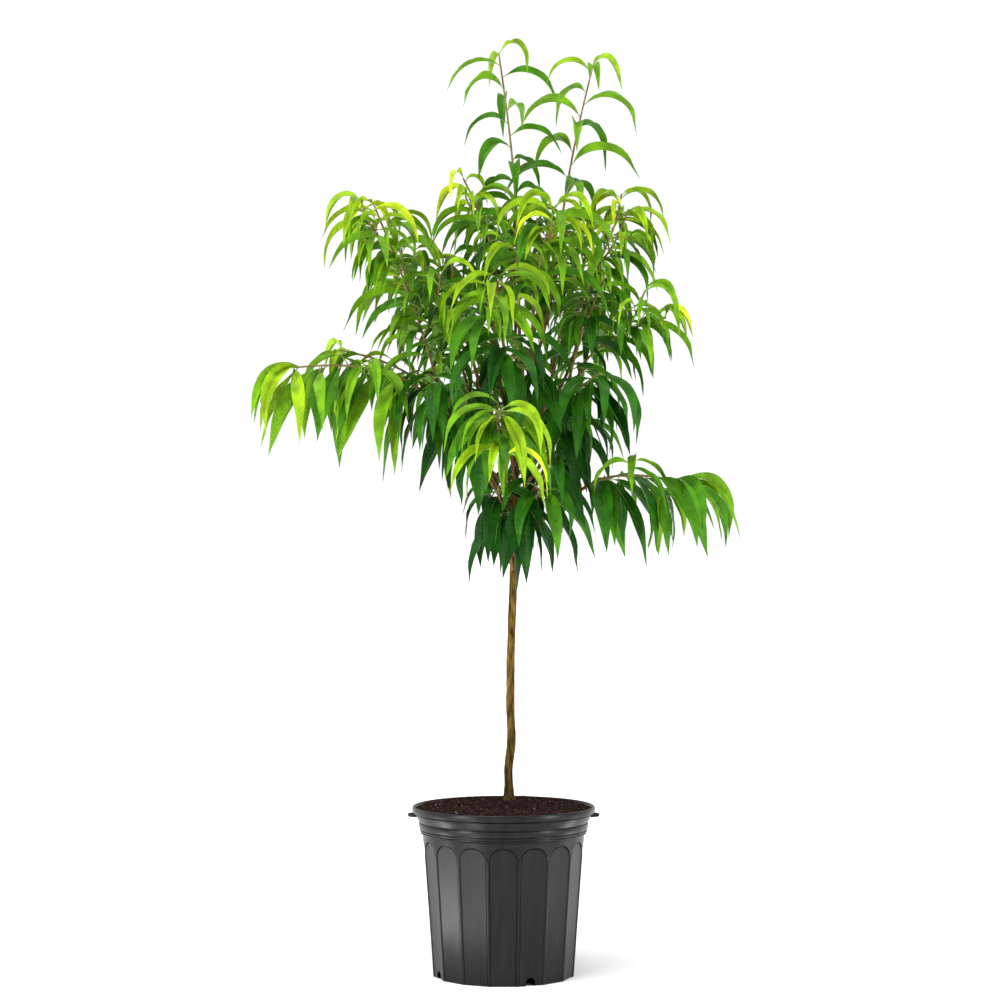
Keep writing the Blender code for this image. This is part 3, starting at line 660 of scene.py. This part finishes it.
def leaf_at(mass, path, share, turn, rng, attempt):
    """A leaf on the shoot at that share of its length, turned further with each attempt."""
    root, ahead = along(path, share)
    out = turned_round(ahead, turn)
    level = out + ahead * LEAF_LEAN
    youth = max(0.0, 1 - (1 - share) * path_length(path) / YOUNG_REACH)
    hang = mass.hang * (1 - HANG_LOST_YOUNG * youth)
    length = LEAF_LENGTH * mass.leaf * rng.uniform(*LENGTHS) * (1 - TRY_LENGTH * attempt)
    length *= 1 - LENGTH_LOST_YOUNG * youth * (1 - mass.hang)
    rise = RISE + RISE_HANG * hang + RISE_YOUNG * youth + RISE_ABOVE * out.z
    rise += rng.uniform(-RISE_CHANCE, RISE_CHANCE) - TRY_RISE * attempt
    fall = FALL + FALL_HANG * hang + FALL_YOUNG * youth
    fall += rng.uniform(-FALL_CHANCE, FALL_CHANCE) - TRY_FALL * attempt
    heading = atan2(level.y, level.x)
    heading += rng.uniform(-HEADING_CHANCE, HEADING_CHANCE) * (1 + attempt)
    roll = radians(rng.uniform(*ROLL) * rng.choice((-1, 1)))
    width = length * (WIDTH + WIDTH_HANG * hang + WIDTH_YOUNG * youth)
    rise, fall = radians(rise), radians(min(fall, rise - LEAST_BEND))
    return Leaf(root, heading, rise, fall, length, width, roll, youth)


def place_leaves(mass, shoot, shares, tries, clearance, grown, rng):
    """Leaves at those shares of a shoot, each turned until it has room."""
    leaves = []
    start = rng.uniform(0, tau)
    for i, share in enumerate(shares):
        for attempt in range(tries):
            leaf = leaf_at(mass, shoot.path, share, start + LEAF_TURN * i, rng, attempt)
            rooms = [leaf_room(leaf, first, clearance) for first in (0.0, LEAF_FREE)]
            if grown.has_room(mass.name, *rooms):
                grown.add(mass.name, leaf_solid(leaf))
                leaves.append(leaf)
                break
    return leaves


def grow_leaves(mass, shoots, grown):
    """Leaves along each shoot and a tuft at its tip."""
    rng = Random(mass.seed)
    leaves = []
    tuft = round(TUFT_LEAVES + HANGING_TUFT * mass.hang)
    for shoot in shoots:
        length = path_length(shoot.path)
        shares = spaced(shoot, LEAF_SPACING, LEAF_PLACES)
        shares += [1 - (TUFT_GAP + TUFT_SPACING * i) / length for i in range(tuft)]
        leaves += place_leaves(mass, shoot, shares, TRIES, CLEARANCE, grown, rng)
    return leaves


# Finer growth between the first leaves


def spur_limb(mass, shoot, share, turn, rng):
    """A short side shoot, as thin as a leaf's stalk at its tip."""
    foot, ahead = along(shoot.path, share)
    out = turned_round(ahead, turn)
    light = Vector((0, 0, SPUR_LIGHT * (1 - mass.hang)))
    reach = rng.uniform(*SPUR_REACH)
    tip = foot + (ahead * SPUR_AHEAD + out + light).normalized() * reach
    middle = foot + (ahead * SPUR_AHEAD / 2 + out).normalized() * reach / 2
    return tapered(bezier(foot, middle, tip, TWIG_STEPS), SPUR_RADIUS, SPUR_TIP_RADIUS)


def grow_spurs(mass, shoots, grown, rng):
    spurs = []
    for shoot in shoots:
        start = rng.uniform(0, tau)
        for i, share in enumerate(spaced(shoot, SPUR_SPACING, SPUR_PLACES)):
            spur = spur_limb(mass, shoot, share, start + TWIG_TURN * i, rng)
            outer = tapered(spur.path[1:], SPUR_RADIUS, SPUR_RADIUS)
            rooms = [tube(limb, TWIG_SIDES, FURTHER_CLEARANCE) for limb in (spur, outer)]
            if grown.has_room(mass.name, *rooms):
                grown.add(mass.name, tube(spur, TWIG_SIDES))
                spurs.append(spur)
    return spurs


def grow_further(mass, shoots, grown):
    """Spurs with their leaves, and leaves between the first ones on the shoots."""
    rng = Random(mass.seed + FURTHER_SEED)
    spurs = grow_spurs(mass, shoots, grown, rng)
    spur_shares = [1 - i / SPUR_LEAVES * SPUR_LEAFY for i in range(SPUR_LEAVES)]
    places = [(spur, spur_shares, SPUR_LEAF) for spur in spurs]
    for shoot in shoots:
        places.append((shoot, spaced(shoot, FURTHER_SPACING, FURTHER_PLACES), FURTHER_LEAF))
    leaves = []
    for limb, shares, size in places:
        smaller = mass._replace(leaf=mass.leaf * size)
        leaves += place_leaves(
            smaller, limb, shares, FURTHER_TRIES, FURTHER_CLEARANCE, grown, rng
        )
    return spurs, leaves


def grow_crown():
    """Rows of a mass, its shoots, spurs and leaves, clear of limbs and of each other."""
    grown = Grown()
    grown.add("trunk", tube(trunk_limb(), TRUNK_SIDES))
    for mass in MASSES:
        grown.add("bough", tube(bough_limb(mass), BOUGH_SIDES))
        grown.add(mass.name, tube(stem_limb(mass), TWIG_SIDES))
    stems = [stem_limb(mass) for mass in MASSES]
    shoots = [[stem, *grow_twigs(mass, stem, grown)] for mass, stem in zip(MASSES, stems)]
    leaves = [grow_leaves(mass, some, grown) for mass, some in zip(MASSES, shoots)]
    crown = []
    for mass, some, first in zip(MASSES, shoots, leaves):
        spurs, more = ([], []) if mass.name in BARE else grow_further(mass, some, grown)
        crown.append((mass, some, spurs, first + more))
    return crown


# Materials


def new_material(name):
    made = bpy.data.materials.new(name)
    made.use_nodes = True
    return made, made.node_tree, made.node_tree.nodes["Principled BSDF"]


def set_inputs(tree, node, inputs):
    """Gives a node's inputs numbers and colours, or links them to other nodes' outputs."""
    for name, value in inputs.items():
        if isinstance(value, bpy.types.NodeSocket):
            tree.links.new(value, node.inputs[name])
        else:
            node.inputs[name].default_value = value


def add_node(tree, kind, output, inputs):
    """The output of a new node with those inputs."""
    node = tree.nodes.new("ShaderNode" + kind)
    set_inputs(tree, node, inputs)
    return node.outputs[output]


def noise_pattern(tree, scale, detail, stretch=(1, 1, 1)):
    """Noise in the frame's own coordinates, finer along an axis that is stretched."""
    place = add_node(tree, "TexCoord", "Object", {})
    place = add_node(tree, "Mapping", "Vector", {"Vector": place, "Scale": stretch})
    return add_node(tree, "TexNoise", "Fac", {"Vector": place, "Scale": scale, "Detail": detail})


def ramp_colour(tree, pattern, stops):
    """The pattern's colour by stops of (position, colour)."""
    ramp = tree.nodes.new("ShaderNodeValToRGB")
    elements = ramp.color_ramp.elements
    while len(elements) < len(stops):
        elements.new(0.5)
    for element, (position, colour) in zip(elements, stops):
        element.position = position
        element.color = (*colour, 1)
    set_inputs(tree, ramp, {"Fac": pattern})
    return ramp.outputs["Color"]


def mottled(tree, pattern, colour, edge, low, high):
    """The colour from low to high times itself, as the pattern runs from edge to 1 - edge."""
    stops = [(at, [c * factor for c in colour]) for at, factor in ((edge, low), (1 - edge, high))]
    return ramp_colour(tree, pattern, stops)


def spread(tree, pattern, low, high):
    """The pattern as a number from low to high."""
    return add_node(tree, "MapRange", "Result", {"Value": pattern, "To Min": low, "To Max": high})


def raised(tree, pattern, strength, distance):
    inputs = {"Height": pattern, "Strength": strength, "Distance": distance}
    return add_node(tree, "Bump", "Normal", inputs)


def leaf_material(name, colour, roughness):
    """A leaf's green in one of the painted shades, a little mottled, over fine cross veins."""
    made, tree, shader = new_material("leaf_" + name)
    mottle = noise_pattern(tree, scale=36, detail=4)
    veins = noise_pattern(tree, scale=190, detail=3)
    set_inputs(tree, shader, {
        "Base Color": mottled(tree, mottle, colour, edge=0.34, low=0.66, high=1.30),
        "Roughness": roughness,
        "Specular IOR Level": 0.10,
        "Normal": raised(tree, veins, strength=0.75, distance=0.0018),
    })
    return made


def rib_material():
    made, tree, shader = new_material("leaf_rib")
    tint = noise_pattern(tree, scale=40, detail=1)
    colour = mottled(tree, tint, RIB_COLOUR, edge=0.3, low=0.8, high=1.15)
    set_inputs(tree, shader, {"Base Color": colour})
    return made


def darker_foot(tree, colour):
    """The colour, darkened evenly below a height down to the soil."""
    place = add_node(tree, "TexCoord", "Object", {})
    height = add_node(tree, "SeparateXYZ", "Z", {"Vector": place})
    ends = {"From Min": SOIL_TOP, "From Max": DARK_FOOT_TOP, "To Min": DARK_FOOT}
    share = add_node(tree, "MapRange", "Result", {"Value": height, **ends})
    scale = tree.nodes.new("ShaderNodeVectorMath")
    scale.operation = "SCALE"
    set_inputs(tree, scale, {"Vector": colour, "Scale": share})
    return scale.outputs["Vector"]


def bark_material(name, stops, stretch, bump):
    """Bark in streaks along the limb, with finer cracks raised over them, darker at the foot."""
    made, tree, shader = new_material(name)
    streaks = noise_pattern(tree, scale=1, detail=6, stretch=stretch)
    cracks = noise_pattern(tree, scale=1, detail=4, stretch=[3 * s for s in stretch])
    set_inputs(tree, shader, {
        "Base Color": darker_foot(tree, ramp_colour(tree, streaks, stops)),
        "Roughness": spread(tree, streaks, low=0.9, high=0.65),
        "Specular IOR Level": 0.08,
        "Normal": raised(tree, cracks, strength=0.6, distance=bump),
    })
    return made


def plastic_material():
    """Black moulded plastic with a satin face, faint flow streaks and a little dust."""
    made, tree, shader = new_material("black_plastic")
    streaks = noise_pattern(tree, scale=1, detail=5, stretch=(90, 90, 9))
    smears = noise_pattern(tree, scale=14, detail=4)
    grain = noise_pattern(tree, scale=900, detail=2)
    set_inputs(tree, shader, {
        "Base Color": ramp_colour(tree, streaks, [(at, (grey,) * 3) for at, grey in PLASTIC_GREYS]),
        "Roughness": spread(tree, smears, low=0.27, high=0.38),
        "Specular IOR Level": 0.17,
        "Normal": raised(tree, grain, strength=0.12, distance=0.0003),
    })
    return made


def soil_material(name, colour, contrast):
    made, tree, shader = new_material(name)
    crumbs = noise_pattern(tree, scale=320, detail=5)
    set_inputs(tree, shader, {
        "Base Color": mottled(tree, crumbs, colour, edge=0.3, low=1 - contrast, high=1 + contrast),
        "Roughness": 0.95,
        "Specular IOR Level": 0.1,
        "Normal": raised(tree, crumbs, strength=0.8, distance=0.0012),
    })
    return made


# Pieces


def add_object(name, data):
    made = bpy.data.objects.new(name, data)
    bpy.context.scene.collection.objects.link(made)
    return made


def add_mesh(name, shape):
    mesh = bpy.data.meshes.new(name)
    mesh.from_pydata(shape[0], [], shape[1])
    return add_object(name, mesh)


def piece(name, shape, finish, nodes, sharp=80):
    """A piece of the plant from (points, faces), smooth but for edges sharper than sharp."""
    obj = add_mesh(name, shape)
    obj.data.materials.append(finish)
    obj.data.shade_smooth()
    obj.data.set_sharp_from_angle(angle=radians(sharp))
    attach(obj, "root")
    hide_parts(*nodes)
    return obj


def joined(shapes):
    """One (points, faces) of many."""
    points, faces = [], []
    for some, these in shapes:
        first = len(points)
        points += some
        faces += [tuple(first + corner for corner in face) for face in these]
    return points, faces


# Leaves


def blend(first, second, share):
    return first + (second - first) * share


def blade_faces():
    """The faces that every blade has: its root, its upper and under side, and its tip."""
    wide = len(BLADE_ACROSS)
    row = 2 * wide - 2
    last = row * (len(BLADE_PROFILE) - 1)
    tip = last + row
    top = list(range(wide))
    bottom = [0, *range(wide, row), wide - 1]
    faces = [tuple(top + bottom[-2:0:-1])]
    for start in range(0, last, row):
        for a, b in zip(top, top[1:]):
            faces.append((start + b, start + a, start + a + row, start + b + row))
        for a, b in zip(bottom, bottom[1:]):
            faces.append((start + a, start + b, start + b + row, start + a + row))
    faces += [(last + b, last + a, tip) for a, b in zip(top, top[1:])]
    faces += [(last + a, last + b, tip) for a, b in zip(bottom, bottom[1:])]
    return faces


def leaf_blade(leaf, light, rng):
    """The points of a thin folded blade that waves at its edges, slimmer in the light."""
    hanging = min(1.0, max(0.0, (leaf.rise + leaf.fall) / 2 / HANGING_SLOPE))
    hollow = blend(rng.uniform(*ARCHED_FOLD), rng.uniform(*HANGING_FOLD), hanging)
    roll = leaf.roll * blend(ARCHED_ROLL, 1.0, hanging)
    width = leaf.width * blend(ARCHED_WIDER, 1.0, hanging) * blend(SHADED_WIDTH, SUNLIT_WIDTH, light)
    leaf = leaf._replace(roll=roll, width=width)
    waves = rng.uniform(*EDGE_WAVES_CHANCE) * EDGE_WAVES * tau
    phases = rng.uniform(0, tau), rng.uniform(0, tau)
    wave = EDGE_WAVE * rng.uniform(*EDGE_WAVE_CHANCE)
    points = []
    for share, broad in BLADE_PROFILE:
        centre, direction = midrib(leaf, share)
        left, face = blade_frame(leaf, direction)
        fold = hollow * (1 - FOLD_LOST * share)
        half = leaf.width / 2 * broad
        waving = wave * min(1, WAVE_BROAD * broad)
        for under in (0, 1):
            for x in BLADE_ACROSS[1:-1] if under else BLADE_ACROSS:
                swing = sin(waves * share + phases[x > 0]) * waving * x * x
                lift = half * abs(x) * sin(fold) + swing
                lift -= BLADE_THICKNESS * (under - 0.5 * (abs(x) < 1))
                points.append(centre + left * half * x * cos(fold) + face * lift)
    return [*points, midrib(leaf, 1.0)[0]]


def leaf_rib(leaf):
    """The leaf's stalk, from inside the shoot, and its midrib, which stands out of both faces."""
    shares = [0.0, *(share for share, _ in BLADE_PROFILE)]
    path = [midrib(leaf, share)[0] for share in shares]
    radii = [STALK_RADIUS * value_at(RIB_RADII, share) for share in shares]
    ahead = (path[1] - path[0]).normalized()
    return tube(Limb(path, radii, ahead, midrib(leaf, 1)[1]), RIB_SIDES)


def shade_of(mass, leaf, rng):
    """The leaf's painted shade, from its mass's light, its youth and how near a tip and far out it is.
    """
    near = max(0.0, 1 - (leaf.root - Vector(mass.tip)).length / TIP_REACH)
    outness = min(1.0, Vector((leaf.root.x - TRUNK_LINE[-1][0], leaf.root.y)).length / CROWN_OUT)
    high = min(1.0, max(0.0, (leaf.root.z - CROWN_LOW) / CROWN_RISE))
    light = mass.light * (LIGHT_ALL + LIGHT_TIP * leaf.youth * near)
    light += LIGHT_OUT * outness + LIGHT_HIGH * high + rng.uniform(-LIGHT_CHANCE, LIGHT_CHANCE)
    return next((name for name, _, _, least in SHADES if light >= least), SHADES[-1][0])


def make_leaves(crown):
    """The blades, joined by painted shade, and the stalks and ribs."""
    rng = Random(SHADE_SEED)
    faces = blade_faces()
    blades = {name: [] for name, *_ in SHADES}
    ribs = []
    for mass, _, _, leaves in crown:
        for leaf in leaves:
            shade = shade_of(mass, leaf, rng)
            blades[shade].append((leaf_blade(leaf, mass.light, rng), faces))
            ribs.append(leaf_rib(leaf))
    # One leaf material for each shade: lit and shaded copies of the leaf green, painted light and
    # shade
    for name, colour, roughness, _ in SHADES:
        finish = leaf_material(name, colour, roughness)
        piece("leaves_" + name, joined(blades[name]), finish, FOLIAGE, sharp=55)
    piece("leaf_ribs", joined(ribs), rib_material(), FOLIAGE, sharp=60)


# Trunk, boughs and shoots


def scaled(place, factors):
    return Vector([a * b for a, b in zip(place, factors)])


def bark_relief(centre, spoke, radius):
    """Ridges that run along the trunk, rings, and swellings round it."""
    place = centre + spoke * radius
    ridges = noise.fractal(scaled(place, RIDGE_GRAIN), *RIDGE_ROUGHNESS)
    rings = noise.noise(Vector((0, 0, place.z * RING_GRAIN)))
    swell = noise.noise(scaled((spoke.x, spoke.y, place.z), SWELL_GRAIN))
    return RIDGE_HEIGHT * ridges + RING_HEIGHT * rings + SWELL_HEIGHT * swell


def make_trunk():
    rough = trunk_limb()
    steps, sides = TRUNK_DRAWN
    path = smooth_line(rough.path, steps)
    radii = [value_at(TRUNK_RADII, point.z) for point in path]
    fine = Limb(path, radii, rough.first, rough.last)
    finish = bark_material("trunk_bark", TRUNK_BARK, stretch=(260, 260, 45), bump=0.0008)
    piece("trunk_bark", tube(fine, sides, 0.0, bark_relief), finish, ["trunk"])


def shoot_relief(centre, spoke, radius):
    """Slight swellings along a shoot, and a finer unevenness round it."""
    swell = noise.noise(centre * SHOOT_SWELL)
    ridges = noise.noise((centre + spoke * radius) * SHOOT_GRAIN)
    return radius * (SHOOT_SWELL_HEIGHT * swell + SHOOT_GRAIN_HEIGHT * ridges)


def drawn(limb, steps, sides, slimmer, relief=None):
    """(points, faces) of a limb with finer steps and more sides, a little slimmer."""
    path = smooth_line(limb.path, steps)
    table = list(enumerate(limb.radii))
    radii = [slimmer * value_at(table, i / steps) for i in range(len(path))]
    return tube(Limb(path, radii, limb.first, limb.last), sides, 0.0, relief)


def make_limbs(crown):
    boughs = [drawn(bough_limb(mass), *BOUGH_DRAWN, shoot_relief) for mass in MASSES]
    finish = bark_material("bough_bark", BOUGH_BARK, stretch=(300, 300, 90), bump=0.0005)
    piece("boughs", joined(boughs), finish, BOUGHS)
    finish = bark_material("shoot_bark", SHOOT_BARK, stretch=(160, 160, 70), bump=0.0003)
    tubes = []
    for _, shoots, spurs, _ in crown:
        tubes += [drawn(shoot, *SHOOT_DRAWN, shoot_relief) for shoot in shoots]
        tubes += [drawn(spur, *SPUR_DRAWN) for spur in spurs]
    piece("shoots", joined(tubes), finish, FOLIAGE)


# Pot


def body_radius(z):
    return FOOT_RADIUS + (BODY_TOP_RADIUS - FOOT_RADIUS) * z / BODY_TOP


def inner_radius(z):
    """The plain inside of the pot, a wall's thickness behind the flutes' hollows and the lip."""
    if z <= BODY_TOP:
        return body_radius(z) - FLUTE_DEPTH - POT_WALL
    low = BODY_TOP_RADIUS - FLUTE_DEPTH - POT_WALL
    return low + (LIP_RADIUS - LIP_WALL - low) * (z - BODY_TOP) / (POT_HEIGHT - BODY_TOP)


def flute_hollow(u):
    """How deep the flute is across its width: a rounded rib, then a groove round a bowl."""
    inside = abs(u) / FLUTE_SHARE
    if inside >= 1:
        return RIB_RISE * (((1 - abs(u)) / (1 - FLUTE_SHARE)) ** 2 - 1)
    edge = (1 - inside) / GROOVE_SHARE
    groove = GROOVE_DEPTH * sin(pi * edge) if edge < 1 else 0.0
    return FLUTE_STEP * min(1.0, edge) + groove + (FLUTE_DEPTH - FLUTE_STEP) * (1 - inside**2)


def flute_head(u):
    """How high the flute's arched head stands at u."""
    inside = min(1.0, abs(u) / FLUTE_SHARE)
    return FLUTE_SPRING + FLUTE_RISE * sqrt(1 - inside * inside)


def pot_rows(u):
    """(radius, height) of the pot's skin, from its foot over the lip to its floor inside."""
    hollow, head = flute_hollow(u), flute_head(u)
    rows = [(body_radius(0) - hollow - FOOT_EDGE, 0.0), (body_radius(FOOT_EDGE) - hollow, FOOT_EDGE)]
    for z in [head * i / FLUTE_ROWS for i in range(1, FLUTE_ROWS)]:
        rows.append((body_radius(z) - hollow, z))
    grooved = GROOVE_DEPTH if abs(u) < FLUTE_SHARE else 0.0
    for share, depth, groove in HEAD_ROWS:
        z = head - HEAD_EDGE + 2 * HEAD_EDGE * share
        rows.append((body_radius(z) - hollow * depth - grooved * groove, z))
    top = head + HEAD_EDGE
    for z in [top + (BODY_TOP - top) * share for share in NECK_ROWS]:
        rows.append((body_radius(z), z))
    rows += [(BODY_TOP_RADIUS + out, z) for out, z in COLLAR]
    rows.append((inner_radius(POT_HEIGHT) + LIP_EASE, POT_HEIGHT))
    inner = (POT_HEIGHT - LIP_EDGE, SOIL_EDGE, BODY_TOP, POT_FLOOR)
    return rows + [(inner_radius(z), z) for z in inner]


def turned(columns):
    """(points, faces) of a closed turned shape from columns of (angle, its rows)."""
    points, faces = [], []
    rows = len(columns[0][1])
    for angle, column in columns:
        for radius, z in column:
            points.append(Vector((radius * cos(angle), radius * sin(angle), z)))
    for k, after in around(len(columns)):
        a, b = k * rows, after * rows
        faces += [(a + row, b + row, b + row + 1, a + row + 1) for row in range(rows - 1)]
    faces.append(tuple(reversed([k * rows for k in range(len(columns))])))
    faces.append(tuple(k * rows + rows - 1 for k in range(len(columns))))
    return points, faces


def cut_drain(pot, angle):
    """Cuts one of the drain notches at the pot's foot."""
    out = Vector((cos(angle), sin(angle), 0))
    middle = out * FOOT_RADIUS + Vector((0, 0, DRAIN_HEIGHT))
    ends = [middle - out * DRAIN_REACH, middle + out * DRAIN_REACH]
    drill = add_mesh("drill", tube(tapered(ends, DRAIN_RADIUS, DRAIN_RADIUS), DRAIN_SIDES))
    modifier = pot.modifiers.new("drain", "BOOLEAN")
    modifier.operation = "DIFFERENCE"
    modifier.object = drill
    bpy.context.view_layer.update()
    graph = bpy.context.evaluated_depsgraph_get()
    pot.data = bpy.data.meshes.new_from_object(pot.evaluated_get(graph))
    pot.modifiers.clear()
    bpy.data.objects.remove(drill, do_unlink=True)


def make_pot():
    finish = plastic_material()
    columns = []
    for flute in range(FLUTES):
        for u in FLUTE_PLACES[:-1]:
            angle = FLUTE_TURN + tau * (flute + u / 2) / FLUTES
            columns.append((angle, pot_rows(u)))
    pot = piece("pot_body", turned(columns), finish, ["pot"], sharp=40)
    for k in range(DRAIN_HOLES):
        cut_drain(pot, FLUTE_TURN + tau * k / DRAIN_HOLES)
    for side in (-1, 1):
        make_lug(side, finish)


def make_lug(side, finish):
    """One of the two small lugs that stand out under the lip, narrower at its outer end."""
    depth, width, height = LUG_SIZE
    middle = Vector((side * (LIP_RADIUS + LUG_REACH - depth / 2), 0, LUG_HEIGHT + height / 2))
    points = []
    for corner in BOX_CORNERS:
        narrow, low = LUG_TAPER if corner[0] == side else (0, 0)
        half = (depth / 2, width / 2 * (1 - narrow), height / 2 * (1 - low))
        points.append(middle + scaled(corner, half))
    name = "pot_lug_left" if side < 0 else "pot_lug_right"
    lug = piece(name, (points, BOX_FACES), finish, ["pot"], sharp=60)
    rounding = lug.modifiers.new("rounding", "BEVEL")
    rounding.width = LUG_ROUNDING
    rounding.segments = LUG_ROUNDING_STEPS
    rounding.limit_method = "NONE"


# Soil


def soil_height(x, y):
    table = [(0.0, SOIL_TOP), *SOIL_MOUND, (inner_radius(SOIL_EDGE), SOIL_EDGE)]
    place = Vector((x * LUMP_GRAIN, y * LUMP_GRAIN, LUMP_SLICE))
    return value_at(table, hypot(x, y)) + noise.fractal(place, *LUMP_ROUGHNESS) * LUMP_HEIGHT


def soil_bed(rim):
    """(points, faces) of the potting mix: its lumpy top, and a little way down inside the pot."""
    points = [Vector((0, 0, soil_height(0, 0)))]
    for ring in range(1, SOIL_RINGS + 1):
        radius = rim * ring / SOIL_RINGS
        for k in range(SOIL_SIDES):
            angle = tau * k / SOIL_SIDES
            x, y = radius * cos(angle), radius * sin(angle)
            points.append(Vector((x, y, soil_height(x, y))))
    low = SOIL_EDGE - SOIL_DEPTH
    narrow = (inner_radius(low) - SOIL_GAP) / rim
    points += [Vector((p.x * narrow, p.y * narrow, low)) for p in points[-SOIL_SIDES:]]
    faces = [(0, 1 + a, 1 + b) for a, b in around(SOIL_SIDES)]
    last = 1 + SOIL_RINGS * SOIL_SIDES
    for row in range(1, last, SOIL_SIDES):
        for a, b in around(SOIL_SIDES):
            faces.append((row + a, row + a + SOIL_SIDES, row + b + SOIL_SIDES, row + b))
    faces.append(tuple(last + k for k in reversed(range(SOIL_SIDES))))
    return points, faces


def make_chip(rng, reach, sizes):
    """(points, faces) of one six-sided crumb that lies on the soil, half sunk."""
    while True:
        x, y = rng.uniform(-reach, reach), rng.uniform(-reach, reach)
        from_trunk = hypot(x - TRUNK_LINE[0][0], y - TRUNK_LINE[0][1])
        if hypot(x, y) < reach and from_trunk > CHIPS_FROM_TRUNK:
            break
    size = rng.uniform(*sizes)
    half = Vector((1, rng.uniform(*CHIP_WIDTH), rng.uniform(*CHIP_HEIGHT))) * size / 2
    tilts = [Matrix.Rotation(rng.uniform(-CHIP_TILT, CHIP_TILT), 3, axis) for axis in "XY"]
    turn = Matrix.Rotation(rng.uniform(0, tau), 3, "Z") @ (tilts[0] @ tilts[1])
    middle = Vector((x, y, soil_height(x, y) + half.z * CHIP_LIFT))
    corners = [scaled(corner, half) * rng.uniform(*CHIP_CORNER) for corner in BOX_CORNERS]
    return [middle + turn @ corner for corner in corners], BOX_FACES


def make_soil():
    """The bed of potting mix, with chips of bark and pale grit lying in it."""
    rim = inner_radius(SOIL_EDGE) - SOIL_GAP
    finish = soil_material("potting_mix", SOIL_COLOUR, contrast=0.5)
    piece("soil_bed", soil_bed(rim), finish, ["soil"])
    rng = Random(CHIP_SEED)
    for name, count, sizes, colour in CHIPS:
        chips = [make_chip(rng, rim - CHIPS_FROM_RIM, sizes) for _ in range(count)]
        finish = soil_material(name, colour, contrast=0.35)
        piece(name, joined(chips), finish, ["soil"], sharp=30)


# Floor, light and camera


def make_floor():
    corners = [(x * FLOOR_HALF, y * FLOOR_HALF, 0) for x, y in ((-1, -1), (1, -1), (1, 1), (-1, 1))]
    floor = add_mesh("floor", (corners, [(0, 1, 2, 3)]))
    finish, tree, shader = new_material("floor")
    inputs = {"Base Color": (*FLOOR_COLOUR, 1), "Roughness": 0.9, "Specular IOR Level": 0.0}
    set_inputs(tree, shader, inputs)
    floor.data.materials.append(finish)


def facing(ahead):
    return Vector(ahead).to_track_quat("-Z", "Y").to_euler()


def add_light(name, place, turn, size, watts):
    data = bpy.data.lights.new(name, "AREA")
    data.shape = "RECTANGLE"
    data.size, data.size_y = size
    data.energy = watts
    light = add_object(name, data)
    light.location = place
    light.rotation_euler = turn


def add_strip(name, place, watts):
    """A tall narrow soft light that faces the plant from that place."""
    add_light(name, place, facing((-place[0], -place[1], 0)), STRIP_SIZE, watts)


def add_floor_strip(name, bearing, watts):
    """A light that lies on the floor, faces up and runs out from the pot on that bearing."""
    middle = FLOOR_STRIP_START + FLOOR_STRIP_SIZE[1] / 2
    place = (sin(bearing) * middle, -cos(bearing) * middle, FLOOR_STRIP_LIFT)
    add_light(name, place, (pi, 0, bearing), FLOOR_STRIP_SIZE, watts)


def add_sun():
    data = bpy.data.lights.new("sun", "SUN")
    data.energy = SUN_STRENGTH
    data.angle = SUN_SPREAD
    add_object("sun", data).rotation_euler = facing(SUN_AHEAD)


def make_lights():
    world = bpy.data.worlds.new("studio")
    world.use_nodes = True
    sky = world.node_tree.nodes["Background"]
    sky.inputs["Color"].default_value = (1, 1, 1, 1)
    sky.inputs["Strength"].default_value = SKY_STRENGTH
    bpy.context.scene.world = world
    bpy.context.scene.view_settings.view_transform = "Standard"
    add_sun()
    for strip in STRIPS:
        add_strip(*strip)
    for strip in FLOOR_STRIPS:
        add_floor_strip(*strip)


def make_camera():
    data = bpy.data.cameras.new("camera")
    data.lens = CAMERA_LENS
    camera = add_object("camera", data)
    camera.location = CAMERA_PLACE
    camera.rotation_euler = (radians(90), 0, 0)
    bpy.context.scene.camera = camera


def main():
    make_camera()
    make_lights()
    make_floor()
    make_pot()
    make_soil()
    make_trunk()
    crown = grow_crown()
    make_limbs(crown)
    make_leaves(crown)


main()
